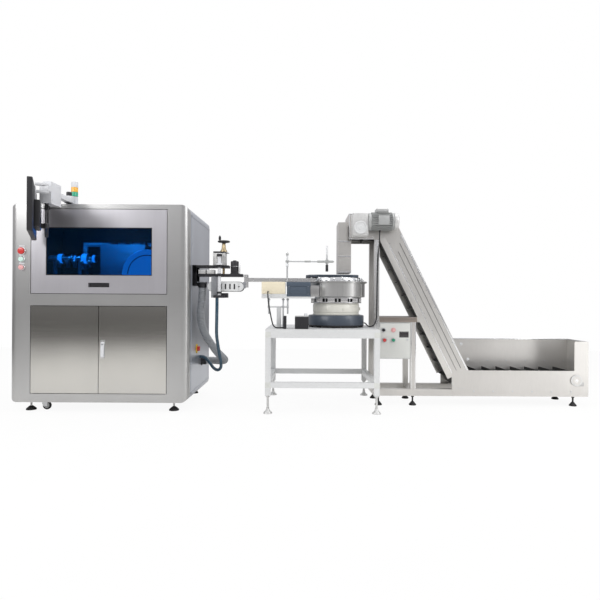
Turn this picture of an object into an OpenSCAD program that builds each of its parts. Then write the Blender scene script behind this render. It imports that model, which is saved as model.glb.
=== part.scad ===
// Vision inspection line: inspection cabinet, infeed unit, vibratory bowl feeder on a table, cleated elevator.
// Millimetres, +Z up. Origin on the floor under the middle of the line; +X runs from the cabinet to the elevator.

/* [Line] */
// Overall length from the cabinet's left side to the hopper's end
line_l = 5440; // [5400:10:5700]
// Distance from the origin to the cabinet's front face
cab_front = 190; // [150:5:230]
// Distance of the feed line behind the cabinet's front face
feed_in = 250; // [240:5:260]
// Radial clearance of every running fit
fit = 0.05; // [0.03:0.01:0.09]

/* [Cabinet] */
// Width of the cabinet
cab_w = 1615; // [1580:5:1630]
// Depth of the cabinet
cab_d = 1110; // [1060:10:1200]
// Height of the cabinet's roof above the floor
cab_h = 1874; // [1850:2:1900]
// Clear height under the cabinet
cab_clear = 88; // [86:1:92]
// Radius of the cabinet's rounded edges
cab_r = 70; // [50:2:80]
// Thickness of the cabinet's sheet
sheet = 3; // [2:0.5:4]
// Depth of the front frame
frame_d = 90; // [80:5:110]
// Width of the front columns beside the doors
col_w = 192; // [185:1:205]
// Height of the band under the lower doors
bottom_band = 77; // [70:1:84]
// Height of the opening for the lower doors
low_door_h = 795; // [780:5:800]
// Height of the band between the doors
mid_band = 104; // [98:2:110]
// Height of the opening for the upper door
up_door_h = 769; // [760:1:774]

/* [Doors] */
// Gap round each door
door_gap = 5; // [5:0.5:7]
// Depth of the doors' folded edges
door_t = 20; // [16:1:24]
// Diameter of the doors' pivot pins
door_pin_d = 8; // [6:0.5:9]
// Distance of the pivot pins from the door's edges and face
door_pin_in = 8; // [7:0.5:8]
// Border of sheet round the window
window_border = 138; // [125:1:145]
// Height of the sheet above and below the window
window_rail = 168; // [150:2:170]
// Thickness of the window
window_t = 6; // [4:1:8]

/* [Monitor] */
// Width of the monitor
mon_w = 720; // [660:10:740]
// Height of the monitor
mon_h = 410; // [366:4:426]
// Thickness of the monitor's slab
mon_t = 40; // [30:2:44]
// Turn of the monitor from square to the front
mon_angle = 25; // [22:1:28]
// Drop from the roof to the monitor's lower edge
mon_drop = 340; // [330:5:360]

/* [Inspection disc] */
// Diameter of the glass disc
disc_d = 800; // [700:10:820]
// Thickness of the glass disc
disc_t = 10; // [8:1:12]
// Height of the disc's top above the floor
disc_z = 1190; // [1180:2:1200]
// Thickness of the machine deck
deck_t = 15; // [12:1:20]
// Height of the deck's top above the floor
deck_z = 1020; // [1000:5:1030]

/* [Table] */
// Length of the table
table_w = 1030; // [1000:5:1032]
// Depth of the table
table_d = 970; // [900:10:990]
// Height of the table's top above the floor
table_h = 758; // [750:1:764]
// Side of the table's square tube
tube = 50; // [40:2:56]
// Thickness of the table's top
table_t = 20; // [15:1:24]

/* [Bowl feeder] */
// Outer diameter of the bowl's flange
bowl_d = 612; // [590:2:620]
// Height of the bowl's top flange above the table
bowl_h = 444; // [440:1:448]
// Depth of the bowl
bowl_depth = 150; // [130:2:156]
// Wall of the bowl
bowl_t = 3; // [2:0.5:4]
// Diameter of the heavy base
base_d = 550; // [520:5:570]
// Diameter of the drive housing
drive_d = 458; // [440:2:480]

/* [Elevator] */
// Width of the elevator over its side plates
elev_w = 400; // [380:5:420]
// Radius of the belt's inner face round the drums
drum_r = 52; // [48:1:54]
// Thickness of the belt
belt_t = 6; // [4:0.5:8]
// Height of the belt's cleats
cleat_h = 30; // [20:1:31]
// Distance between the cleats
cleat_pitch = 150; // [120:5:200]
// Height of the head drum above the floor
head_z = 1712; // [1700:2:1720]
// Height of the tail drum above the floor
tail_z = 252; // [250:1:256]
// Diameter of the drum shafts
shaft_d = 30; // [25:1:34]
// Height of the hopper's rear wall above the floor
hopper_h = 632; // [600:4:660]
// Height of the hopper's front wall above the floor
hopper_low = 345; // [335:5:360]

/* [Hidden] */
$fn = 64;
cut = 2;

// Cabinet places
cab_x = -line_l / 2;
cab_x1 = cab_x + cab_w;
cab_y = -cab_front;
cab_y1 = cab_y + cab_d;
line_y = cab_y + feed_in;
door_x = cab_x + col_w;
door_x1 = cab_x1 - col_w;
low_z = cab_clear + bottom_band;
low_z1 = low_z + low_door_h;
up_z = low_z1 + mid_band;
up_z1 = up_z + up_door_h;
pane_w = (door_x1 - door_x - door_gap * 3) / 2;
wrap_y = cab_y + frame_d;
rear_y = cab_y1 - cab_r;
pin_l = door_gap + sheet;

// Inlet in the right side: width, bottom and top above the floor
inlet_w = 110;
inlet_z = 1176;
inlet_z1 = 1262;

// Base pan and the deck's legs
pan_t = 4;
deck_tube = 50;
deck_leg_in = 130;

// Vents in the rear panel: rows, width, height, pitch, height of the lowest above the floor
vent_rows = 6;
vent_w = 260;
vent_h = 10;
vent_pitch = 26;
vent_z = 420;

// Levelling feet: inset from the cabinet's sides, pad and stem
foot_in_x = 150;
foot_in_y = 110;
foot_d = 90;
foot_h = 36;
foot_rim = 12;
foot_stem_d = 16;
foot_nut_d = 30;
foot_nut_h = 10;

// Casters: inset, trail, wheel and fork
caster_in_x = 270;
caster_trail = 26;
wheel_d = 76;
wheel_w = 22;
wheel_lift = 2;
fork_t = 3;
fork_side = 1;
fork_disc_d = 54;
fork_disc_h = 6;
fork_gap = 0.5;
fork_w = 34;
axle_d = 8;
king_d = 12;
caster_x = cab_x + caster_in_x;
caster_y0 = cab_y + foot_in_y;
caster_y1 = cab_y1 - foot_in_y;
wheel_z0 = wheel_d / 2 + wheel_lift;

// Handle recess of the upper door and latch of the right door
grip_w = 187;
grip_h = 38;
grip_depth = 14;
grip_z = 63;
latch_w = 28;
latch_h = 140;
latch_t = 14;
latch_z = 495;
latch_in = 36;
latch_stud_d = 12;
latch_cam_l = 56;
latch_cam_w = 16;
latch_cam_t = 4;
latch_gap = 1;

// Operator's buttons on the left column
button_x_in = 114;
estop_z = 1450;
start_z = 1375;
stop_z = 1302;
estop_d = 60;
press_d = 44;
bezel_d = 52;
bezel_t = 6;
estop_bezel_d = 66;
stem_d = 22;
button_out = 16;
button_gap = 6;
button_head = 14;
label_w = 50;
label_h = 14;
label_t = 2;
label_up = 6;

// Isolator on the right side
iso_in = 387;
iso_z = 544;
iso_d = 90;
iso_t = 6;
iso_knob_d = 48;
iso_knob_h = 26;
iso_grip_w = 12;
iso_grip_h = 14;

// Signal tower: diameter, place on the roof and heights of its sections from the roof up
tower_d = 62;
tower_in_x = 497;
tower_in_y = 200;
tower_foot_d = 74;
tower_foot_h = 20;
tower_white_h = 85;
tower_green_h = 42;
tower_amber_h = 45;
tower_cap_h = 54;
tower_ring_h = 3;

// Monitor arm: post on the roof, sleeve, beam, head box and tilt pivot
post_in_x = 486;
post_in_y = 110;
post_d = 48;
post_flange_d = 100;
post_flange_h = 10;
post_h = 130;
sleeve_d = 84;
sleeve_h = 60;
sleeve_up = 30;
beam_w = 60;
beam_h = 44;
head_w = 100;
head_l = 180;
head_h = 180;
head_out = 150;
head_drop = 52;
head_slant = 34;
knob_d = 40;
knob_h = 45;
mon_pin_d = 16;
mon_lug = 40;
mon_back_t = 45;
mon_back_w = 300;
mon_back_h = 215;
gland_d = 46;
gland_h = 40;
gland_up = 66;
cable_pitch = 18;
mon_pivot_out = 40;

// Disc drive and cameras
disc_in_x = 870;
disc_back = 340;
spindle_d = 40;
spindle_case_d = 150;
hub_d = 130;
hub_h = 24;
motor_box = 200;
motor_drop = 220;
bridge_w = 60;
bridge_t = 8;
bridge_gap = 13;
bridge_out = 120;
cam_post = 40;
cam_beam_z = 1560;
cam_w = 60;
cam_h = 110;
lens_d = 50;
lens_l = 120;
ring_d = 130;
ring_t = 20;
disc_x = cab_x + disc_in_x;
disc_y = line_y + disc_back;
bridge_x = disc_x + sqrt(disc_d * disc_d / 4 - disc_back * disc_back) + bridge_gap + bridge_w / 2;
cam_back = 60;
round_in = 330;
round_back = 130;
round_d = 270;
side_cam_z = 1370;
cam_posts = [disc_x - disc_d / 2 - cam_post * 2, disc_x + disc_d / 2 + cam_post];
hood_w = 440;
hood_d = 300;
hood_h = 290;
hood_z = 1270;
hood_t = 4;
cam_z = cam_beam_z + cam_post - cam_h;
cam_y = disc_y + cam_back;
hood_x = disc_x - hood_w / 2;
cam_xs = [disc_x - hood_w / 3, disc_x, disc_x + hood_w / 3];

// Infeed unit, places from the cabinet's right side outwards and heights above the floor
wall_t = 36;
wall_z = 1150;
wall_h = 194;
wall_w = 150;
arm_z = 1320;
arm_h = 24;
arm_l = 298;
arm_w = 110;
carriage_x = 44;
carriage_l = 420;
carriage_z = 1238;
carriage_t = 26;
carriage_w = 100;
block_w = 70;
block_h = 40;
block_x = 46;
block_pitch = 80;
column_x = 184;
column_w = 118;
column_d = 90;
column_h = 118;
cap_w = 140;
cap_h = 14;
screw_d = 24;
screw_x = 279;
wheel_z = 1562;
wheel_h = 20;
handwheel_d = 116;
handwheel_hub = 40;
spoke_w = 14;
grip_d = 20;
grip_l = 52;
grip_pin_d = 8;
grip_pin_r = 38;
guide_d = 30;
guide_x = 251;
guide_y = -80;
guide_z0 = 1062;
guide_z1 = 1456;
guide_boss = 52;
drive_x = 384;
drive_motor_d = 84;
drive_motor_h = 131;
nose_x = 130;
nose_l = 346;
nose_z = 1145;
nose_h = 94;
nose_w = 90;
nose_t = 8;
roller_axle_d = 12;
nose_slots = 5;
nose_slot_w = 14;
low_block_z = 1040;
low_block_h = 44;
low_block_w = 150;
nose_belt_t = 3;
hanger_in = 40;
hanger_w = 60;
hanger_t = 10;

// Feed rail, cover, stand and vibrators; lengths along X from the cabinet's right side
rail_x = 486;
rail_l = 668;
rail_z = 1193;
rail_h = 36;
rail_w = 40;
rail_t = 4;
rail_clamp = 34;
rail_clamp_h = 120;
cover_x = 644;
cover_l = 222;
cover_w = 120;
plate_x = 644;
plate_l = 500;
plate_z = 1038;
plate_t = 16;
riser_t = 25;
rod_d = 14;
rod_shares = [0.132, 0.404, 0.489];
rod_foot_z = 890;
cross_z = 948;
cross_h = 16;
stand_post = 42;
stand_post_x = 785;
vib_x = 876;
vib_l = 229;
vib_w = 120;
box_x = 1106;
box_l = 80;
box_w = 60;
box_h = 105;
probe_x = 883;
probe_h = 277;
probe_bar_z = 1385;
probe_bar_x = 866;
probe_l = 458;

// Table place and details
table_x = 695;
table_y_in = -20;
table_leg_z = 160;
rail_low_z = 232;
stand_foot_d = 80;
stand_foot_h = 52;
stand_foot_top = 30;
stand_stem_d = 20;
apron_h = 58;

// Bowl feeder place and heights from the table up
bowl_x = 1364;
bowl_in = 500;
base_foot_h = 12;
base_foot_d = 50;
base_h = 112;
drive_h = 113;
ring_rd = 500;
ring_gap = 0.4;
ring_wall = 6;
slot_count = 12;
slot_w = 60;
slot_h = 26;
flange_w = 22;
flange_t = 6;
ledge_w = 34;
ledge_count = 2;
spindle_stud_d = 40;
bowl_foot_d = 120;
cover_post_angles = [148, 180, 212];
cover_up = 40;
cover_t = 28;

// Controller on the table
ctrl_x = 959;
ctrl_w = 125;
ctrl_d = 150;
ctrl_h = 118;
ctrl_y_in = 60;
ctrl_knob_d = 34;
ctrl_knob_h = 24;
ctrl_stem_d = 8;
ctrl_knob_gap = 0.5;
relay_x = 854;
relay_w = 26;

// Elevator: places along X from the cabinet's right side, side view heights above the floor
elev_in = 390;
elev_plate = 3;
head_x = 1575;
bend_x = 1846;
low_bend_x = 2571;
tail_x = 3705;
head_box_x = 1478;
head_box_w = 244;
head_box_z = 1618;
head_box_h = 251;
side_low = 45;
side_high = 118;
belt_gap = 12;
drum_gap = 0.4;
bearing_d = 80;
bearing_t = 16;
cleat_t = 6;
post_w = 50;
front_post_x = 1729;
base_rail_z = 93;
base_rail_h = 66;
post2_x = 2089;
brace_z = 812;
brace_x1 = 2150;
brace_reach = 385;
foot_elev_d = 70;
hopper_x = 2491;
end_panel_w = 138;
chute_x = 1381;
chute_w = 127;
chute_z = 1293;
chute_top_z = 1795;
chute_d = 260;
chute_t = 3;
chute_gap = 2;
chute_y = cab_y + elev_in + (elev_w - chute_d) / 2;

// Gearbox and motor on the head
gear_w = 150;
gear_t = 150;
gear_cover_d = 124;
gear_cover_t = 14;
motor_d = 160;
motor_l = 290;
motor_z = 1778;
motor_gap = 4;
fin_d = 176;
fin_t = 5;
fin_pitch = 16;
term_w = 100;
term_h = 40;

// Control box on the elevator's frame
box_front_x = front_post_x + post_w;
box_front_w = post2_x - box_front_x;
box_front_z = 454;
box_front_h = 356;
box_depth = 170;
panel_t = 16;
panel_gap = 3;
panel_pin_d = 6;
panel_pin_in = 6;
sel_up = 281;
sel_in = 42;
lamp_in = 139;
start_up = 182;
estop_in = 52;
small_d = 30;
small_estop_d = 40;
display_w = 84;
display_h = 48;
display_in = 201;
display_up = 213;
small_stem_d = 16;
small_gap = 5;
small_head = 12;

// Ribbed hose: bore, wall, rib height and rings between route points
hose_d = 60;
hose_t = 3;
rib_h = 7;
hose_count = 8;
hose_ring_d = 2 * hose_t + hose_d;
tube_d = 30;
cable_d = 12;

// Routes, points chosen by hand, from the cabinet's right face and from the roof's front left corner
hose_route = [[78, 60, 1181.6], [78, 60, 1110], [73, 64, 1020], [60, 76, 930], [57, 96, 840], [73, 116, 750],
    [103, 136, 670], [145, 152, 600], [190, 172, 530], [235, 215, 470], [255, 290, 430],
    [235, 370, 410], [175, 430, 400], [95, 450, 400], [0.8, 450, 400]];
tube_route = [[230, -20, 1037.6], [230, -20, 960], [227, -10, 840], [221, 24, 700], [225, 70, 600],
    [235, 112, 500], [243, 152, 420], [235, 200, 360], [200, 240, 330], [150, 285, 345],
    [95, 325, 405], [45, 342, 446], [0.6, 342, 450]];
mon_route = [[486, -300, -52.4], [486, -300, -134], [487, -302, -234], [491, -312, -304], [501, -334, -338],
    [512, -360, -326], [516, -370, -294], [516, -370, -274.8]];
motor_route = [[1765, 108, 1690], [1765, 112, 1640], [1765, 130, 1580], [1763, 160, 1500], [1760, 180, 1400],
    [1757, 182, 1250], [1755, 182, 1100], [1753, 182, 950], [1749, 180, 850], [1730, 182, 790],
    [1695, 196, 768], [1671, 226, 774], [1651, 244, 796], [1634.2, 247.9, 802]];
cover_route = [[705, -0.4, 1100], [705, -30, 1095], [707, -50, 1060], [715, -56, 980], [730, -56, 900],
    [745, -60, 830], [760, -64, 785], [787, -70, 766.5], [825, -75, 765.5], [853.4, -76, 765.5]];

// Helpers: box from its low corner, and round bars along the three axes
module bar(p, s) translate(p) cube(s);
module rod_z(p, d, h) translate(p) cylinder(d = d, h = h);
module rod_x(p, d, h) translate(p) rotate([0, 90, 0]) cylinder(d = d, h = h);
module rod_y(p, d, h) translate(p) rotate([-90, 0, 0]) cylinder(d = d, h = h);
// Rounded rectangle from its low corner
module rounded(w, h, r) {
    translate([r, 0]) square([w - 2 * r, h]);
    translate([0, r]) square([w, h - 2 * r]);
    for (x = [r, w - r], y = [r, h - r]) translate([x, y]) circle(r);
}
// The cabinet's outer body, drawn in by a wall
module cab_body(in) {
    h = cab_h - cab_clear - 2 * in;
    r = cab_r - in;
    intersection() {
        translate([cab_x + in, cab_y1 - in, cab_clear + in]) rotate([90, 0, 0])
            linear_extrude(cab_d - 2 * in) rounded(cab_w - 2 * in, h, r);
        translate([cab_x + in, cab_y + in, cab_clear + in])
            linear_extrude(h) rounded(cab_w - 2 * in, cab_d - 2 * in, r);
    }
}
// A slice of the cabinet's shell between two depths
module cab_slice(y, y1) {
    intersection() {
        difference() {
            cab_body(0);
            cab_body(sheet);
        }
        bar([cab_x - cut, y, cab_clear - cut], [cab_w + 2 * cut, y1 - y, cab_h + cut]);
    }
}
// Points of a circle swept along a route; a square start and end
function unit(v) = v / norm(v);
function tangent(p, i) = unit(p[min(i + 1, len(p) - 1)] - p[max(i - 1, 0)]);
function side(t) = abs(t[2]) > 0.9 ? unit(cross(t, [0, 1, 0])) : unit(cross(t, [0, 0, 1]));
function sides(p, i) = i == 0 ? side(tangent(p, 0))
    : let (s = sides(p, i - 1), t = tangent(p, i)) unit(s - (s * t) * t);
function spline(a, b, c, d, t) = 0.5 * ((2 * b) + (c - a) * t + (2 * a - 5 * b + 4 * c - d) * t * t
    + (3 * b - a - 3 * c + d) * t * t * t);
function smooth(p, n) = [for (i = [0:len(p) - 2], k = [0:n - 1])
    spline(p[max(i - 1, 0)], p[i], p[i + 1], p[min(i + 2, len(p) - 1)], k / n), p[len(p) - 1]];
function ring(c, u, v, r, n) = [for (k = [0:n - 1]) c + r * (cos(360 * k / n) * u + sin(360 * k / n) * v)];
// Tube along a route with a radius for each ring
module sweep(p, radii, n) {
    rings = [for (i = [0:len(p) - 1]) let (t = tangent(p, i), u = sides(p, i)) ring(p[i], u, cross(t, u),
        radii[i], n)];
    m = len(p);
    polyhedron([for (r = rings, q = r) q], concat(
        [[for (k = [0:n - 1]) k]],
        [for (i = [0:m - 2], k = [0:n - 1]) let (a = i * n + k, b = i * n + (k + 1) % n) [a, a + n, b]],
        [for (i = [0:m - 2], k = [0:n - 1]) let (a = i * n + k, b = i * n + (k + 1) % n) [b, a + n, b + n]],
        [[for (k = [n - 1:-1:0]) (m - 1) * n + k]]));
}
module cable(route, d, n) {
    p = smooth(route, n);
    sweep(p, [for (q = p) d / 2], 8);
}

// Front frame: rounded columns and bands folded from sheet, open at the back, with bushes for the doors' pins
module front_frame() color("lightgray") difference() {
    intersection() {
        cab_body(0);
        bar([cab_x, cab_y, cab_clear], [cab_w, frame_d, cab_h - cab_clear]);
    }
    difference() {
        intersection() {
            cab_body(sheet);
            bar([cab_x, cab_y + sheet, cab_clear], [cab_w, cab_d, cab_h]);
        }
        for (o = [[low_z, low_z1], [up_z, up_z1]])
            bar([door_x - sheet, cab_y, o[0] - sheet], [door_x1 - door_x + 2 * sheet, frame_d,
                o[1] - o[0] + 2 * sheet]);
    }
    for (o = [[low_z, low_z1], [up_z, up_z1]])
        bar([door_x, cab_y - cut, o[0]], [door_x1 - door_x, frame_d + 2 * cut, o[1] - o[0]]);
    for (x = [door_x + door_gap + door_pin_in, door_x1 - door_gap - door_pin_in], z = [low_z - sheet, low_z1])
        rod_z([x, cab_y + door_pin_in, z - cut], door_pin_d + 2 * fit, sheet + 2 * cut);
    for (x = [door_x - sheet, door_x1])
        rod_x([x - cut, cab_y + door_pin_in, up_z1 - door_gap - door_pin_in], door_pin_d + 2 * fit,
            sheet + 2 * cut);
    for (z = [estop_z, start_z, stop_z])
        rod_y([cab_x + button_x_in, cab_y - cut, z], stem_d + 2 * fit, sheet + 2 * cut);
}
// Left side, roof and right side in one bent sheet, with the inlet in the right side
module cabinet_wrap() color("silver") difference() {
    cab_slice(wrap_y, rear_y);
    bar([cab_x + cab_r, wrap_y - cut, cab_clear - cut], [cab_w - 2 * cab_r, cab_d, sheet + 2 * cut]);
    bar([cab_x1 - sheet - cut, line_y - inlet_w / 2, inlet_z], [sheet + 2 * cut, inlet_w,
        inlet_z1 - inlet_z]);
    rod_x([cab_x1 - sheet - cut, cab_y + iso_in, iso_z], stem_d + 2 * fit, sheet + 2 * cut);
}
module rear_panel() color("silver") difference() {
    cab_slice(rear_y, cab_y1 + cut);
    for (x = [0.25, 0.75], k = [0:vent_rows - 1])
        bar([cab_x + cab_w * x - vent_w / 2, cab_y1 - sheet - cut, vent_z + k * vent_pitch],
            [vent_w, sheet + 2 * cut, vent_h]);
}
// Floor of the cabinet with legs for the deck and plates for the casters
module base_pan() color("gray") {
    difference() {
        bar([cab_x + cab_r, wrap_y, cab_clear], [cab_w - 2 * cab_r, rear_y - wrap_y, pan_t]);
        for (y = [caster_y0, caster_y1]) rod_z([caster_x, y, cab_clear - cut], king_d + 2 * fit,
            pan_t + 2 * cut);
    }
    for (x = [cab_x + deck_leg_in, cab_x1 - deck_leg_in - deck_tube], y = [wrap_y, rear_y - deck_tube])
        bar([x, y, cab_clear + pan_t], [deck_tube, deck_tube, deck_z - deck_t - cab_clear - pan_t]);
}
// Deck plate with the spindle housing, its drive below and the bridge from the inlet to the disc
module machine_deck() color("gainsboro") difference() {
    union() {
        bar([cab_x + sheet, wrap_y, deck_z - deck_t], [cab_w - 2 * sheet, rear_y - wrap_y, deck_t]);
        rod_z([disc_x, disc_y, deck_z], spindle_case_d, disc_z - disc_t - hub_h - deck_z - fork_gap);
        bar([disc_x - motor_box / 2, disc_y - motor_box / 2, deck_z - deck_t - motor_drop],
            [motor_box, motor_box, motor_drop]);
        bar([bridge_x, line_y - bridge_w / 2, disc_z - bridge_t], [cab_x1 + bridge_out - bridge_x, bridge_w,
            bridge_t]);
        for (s = [0.15, 0.8]) bar([bridge_x + (cab_x1 - bridge_x) * s, line_y - bridge_w / 4, deck_z],
            [bridge_w / 2, bridge_w / 2, disc_z - bridge_t - deck_z]);
    }
    rod_z([disc_x, disc_y, deck_z - deck_t - spindle_d * 2], spindle_d + 2 * fit, disc_z);
}
module foot(p, top, d, h, rim, neck, stem, nut) {
    translate(p) rotate_extrude() polygon([[0, 0], [d / 2, 0], [d / 2, rim], [neck / 2, h], [0, h]]);
    rod_z(p + [0, 0, h], stem, top - h);
    rod_z(p + [0, 0, top - nut], neck, nut);
}
// Feet under the cabinet, the table and the elevator
module levelling_feet() {
    color("#222") for (x = [cab_x + foot_in_x, cab_x1 - foot_in_x], y = [cab_y + foot_in_y,
        cab_y1 - foot_in_y])
        foot([x, y, 0], cab_clear, foot_d, foot_h, foot_rim, foot_nut_d, foot_stem_d, foot_nut_h);
    color("whitesmoke") for (x = [tab_x + tube / 2, tab_x1 - tube / 2], y = [tab_y + tube / 2,
        tab_y1 - tube / 2])
        foot([x, y, 0], table_leg_z, stand_foot_d, stand_foot_h, foot_rim, stand_foot_top, stand_stem_d,
            foot_nut_h);
    color("#222") for (x = elev_feet, y = [elev_y + post_w / 2, elev_y1 - post_w / 2])
        foot([x, y, 0], base_rail_z, foot_elev_d, foot_h, foot_rim, foot_nut_d, foot_stem_d, foot_nut_h);
}
tab_x = cab_x1 + table_x;
tab_x1 = tab_x + table_w;
tab_y = cab_y + table_y_in;
tab_y1 = tab_y + table_d;
elev_y = cab_y + elev_in;
elev_y1 = elev_y + elev_w;
elev_feet = [cab_x1 + front_post_x + post_w, cab_x1 + post2_x + post_w / 2, line_l / 2 - end_panel_w];
// Caster fork with its kingpin and axle; the wheel trails towards +X
module fork(y) color("darkgray") {
    z = cab_clear - fork_gap - fork_disc_h;
    rod_z([caster_x, y, z], fork_disc_d, fork_disc_h);
    rod_z([caster_x, y, z], king_d, fork_disc_h + fork_gap + pan_t);
    for (s = [-1, 1]) difference() {
        t = wheel_w / 2 + fork_side;
        bar([caster_x - fork_disc_d / 4, y + (s < 0 ? -t - fork_t : t), wheel_z0 - axle_d],
            [caster_trail + fork_disc_d / 4 + axle_d, fork_t, z - wheel_z0 + axle_d + fork_disc_h]);
        bar([caster_x - fork_disc_d, y - fork_w, wheel_z0 - axle_d - cut],
            [fork_disc_d * 0.75 + caster_trail / 4, fork_w * 2, wheel_d / 4]);
    }
    rod_y([caster_x + caster_trail, y - wheel_w / 2 - fork_side - fork_t, wheel_z0], axle_d,
        wheel_w + 2 * (fork_side + fork_t));
}
module wheel(y) color("#1c1c1c") translate([caster_x + caster_trail, y, wheel_z0]) rotate([90, 0, 0])
    rotate_extrude() translate([axle_d / 2 + fit, -wheel_w / 2]) {
        square([wheel_d / 2 - axle_d / 2 - fit - cut, wheel_w]);
        translate([0, cut]) square([wheel_d / 2 - axle_d / 2 - fit, wheel_w - 2 * cut]);
    }
module caster_fork_front() fork(caster_y0);
module caster_fork_rear() fork(caster_y1);
module caster_wheel_front() wheel(caster_y0);
module caster_wheel_rear() wheel(caster_y1);
// Folded door pan from its low corner
module door_pan(x, z, w, h) difference() {
    bar([x, cab_y, z], [w, door_t, h]);
    bar([x + sheet, cab_y + sheet, z + sheet], [w - 2 * sheet, door_t, h - 2 * sheet]);
}
win_x = door_x + window_border;
win_w = door_x1 - door_x - 2 * window_border;
win_z = up_z + window_rail;
win_h = up_door_h - 2 * window_rail;
grip_x = (door_x + door_x1 - grip_w) / 2;
grip_z0 = up_z + grip_z;
// Lift-up door with its window opening, recessed grip and pivot pins
module upper_door() color("lightgray") {
    difference() {
        door_pan(door_x + door_gap, up_z + door_gap, door_x1 - door_x - 2 * door_gap,
            up_door_h - 2 * door_gap);
        bar([win_x, cab_y - cut, win_z], [win_w, door_t, win_h]);
        bar([grip_x, cab_y - cut, grip_z0], [grip_w, door_t, grip_h]);
    }
    difference() {
        bar([grip_x - sheet, cab_y + sheet, grip_z0 - sheet], [grip_w + 2 * sheet, grip_depth,
            grip_h + 2 * sheet]);
        bar([grip_x, cab_y, grip_z0], [grip_w, grip_depth, grip_h]);
    }
    for (x = [door_x - sheet, door_x1 - door_gap - cut])
        rod_x([x, cab_y + door_pin_in, up_z1 - door_gap - door_pin_in], door_pin_d, pin_l + cut);
}
module door_window() color("#2a56b8", 0.6)
    bar([win_x - door_t, cab_y + sheet, win_z - door_t], [win_w + 2 * door_t, window_t, win_h + 2 * door_t]);
module low_door(x, pin_x) {
    door_pan(x, low_z + door_gap, pane_w, low_door_h - 2 * door_gap);
    for (z = [low_z - sheet, low_z1 - door_gap - cut])
        rod_z([pin_x, cab_y + door_pin_in, z], door_pin_d, pin_l + cut);
}
module left_door() color("gray") low_door(door_x + door_gap, door_x + door_gap + door_pin_in);
right_x = door_x1 - door_gap - pane_w;
latch_x = right_x + latch_in;
latch_top = latch_z + latch_h - latch_w / 2;
module right_door() color("gray") difference() {
    low_door(right_x, door_x1 - door_gap - door_pin_in);
    rod_y([latch_x, cab_y - cut, latch_top], latch_stud_d + 2 * fit, sheet + 2 * cut);
}
// Turning lever on the right door, with its stud and its cam behind the sheet
module door_latch() color("white") {
    bar([latch_x - latch_w / 2, cab_y - latch_t - latch_gap, latch_z], [latch_w, latch_t,
        latch_h - latch_w / 2]);
    rod_y([latch_x, cab_y - latch_t - latch_gap, latch_top], latch_w, latch_t);
    rod_y([latch_x, cab_y - latch_gap - cut, latch_top], latch_stud_d,
        door_t + latch_gap + 2 * cut + latch_cam_t);
    bar([latch_x - latch_cam_w / 2, cab_y + door_t + cut, latch_top - latch_cam_w / 2],
        [latch_cam_w, latch_cam_t, latch_cam_w / 2 + latch_cam_l]);
}
// Button on the left column: head outside its bezel and stem through the sheet
module button(z, d) {
    rod_y([cab_x + button_x_in, cab_y - bezel_t - button_gap - button_head, z], d, button_head);
    rod_y([cab_x + button_x_in, cab_y - bezel_t - button_gap - cut, z], stem_d,
        bezel_t + button_gap + cut + sheet + button_out);
}
module estop_button() color("red") button(estop_z, estop_d);
module start_button() color("green") button(start_z, press_d);
module stop_button() color("crimson") button(stop_z, press_d);
module bezel(z, d) difference() {
    rod_y([cab_x + button_x_in, cab_y - bezel_t, z], d, bezel_t);
    rod_y([cab_x + button_x_in, cab_y - bezel_t - cut, z], stem_d + 2 * fit, bezel_t + 2 * cut);
}
module label(z, d) bar([cab_x + button_x_in - label_w / 2, cab_y - label_t, z + d / 2 + label_up],
    [label_w, label_t, label_h]);
// Bezels, bare label plates and the isolator's round plate
module switch_plates() {
    color("silver") for (b = [[estop_z, estop_bezel_d], [start_z, bezel_d], [stop_z, bezel_d]]) bezel(b[0],
        b[1]);
    color("white") for (z = [start_z, stop_z]) label(z, bezel_d);
    color("gold") difference() {
        rod_x([cab_x1, cab_y + iso_in, iso_z], iso_d, iso_t);
        rod_x([cab_x1 - cut, cab_y + iso_in, iso_z], stem_d + 2 * fit, iso_t + 2 * cut);
    }
}
module isolator_knob() color("red") {
    x = cab_x1 + iso_t + fork_gap;
    rod_x([x, cab_y + iso_in, iso_z], iso_knob_d, iso_knob_h - iso_grip_h);
    bar([x, cab_y + iso_in - iso_grip_w / 2, iso_z - iso_knob_d / 2 + cut], [iso_knob_h, iso_grip_w,
        iso_knob_d - 2 * cut]);
    rod_x([cab_x1 - sheet - button_out, cab_y + iso_in, iso_z], stem_d,
        sheet + button_out + iso_t + fork_gap + cut);
}
// Signal tower in stacked sections
module tower_light() {
    x = cab_x + tower_in_x;
    y = cab_y + tower_in_y;
    z1 = cab_h + tower_foot_h + tower_white_h;
    z2 = z1 + tower_green_h;
    z3 = z2 + tower_amber_h;
    color("gainsboro") rod_z([x, y, cab_h], tower_foot_d, tower_foot_h);
    color("white") rod_z([x, y, cab_h + tower_foot_h], tower_d, tower_white_h);
    color("limegreen") rod_z([x, y, z1], tower_d, tower_green_h - tower_ring_h);
    color("gray") rod_z([x, y, z2 - tower_ring_h], tower_d - tower_ring_h, tower_ring_h);
    color("orange") rod_z([x, y, z2], tower_d, tower_amber_h - tower_ring_h);
    color("gray") rod_z([x, y, z3 - tower_ring_h], tower_d - tower_ring_h, tower_ring_h);
    color("white") rod_z([x, y, z3], tower_d, tower_cap_h);
}
post_x = cab_x + post_in_x;
head_z0 = cab_h - head_drop;
mon_z = cab_h - mon_drop;
gland_z = mon_z + gland_up;
post_y = cab_y + post_in_y;
module arm_base() color("dimgray") {
    rod_z([post_x, post_y, cab_h], post_flange_d, post_flange_h);
    rod_z([post_x, post_y, cab_h], post_d, post_h);
}
head_x0 = post_x - head_w / 2;
head_y1 = cab_y - head_out;
mon_pin_x = head_x0 + head_w * 0.8;
mon_pin_y = head_y1 - head_l - mon_pivot_out;
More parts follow.
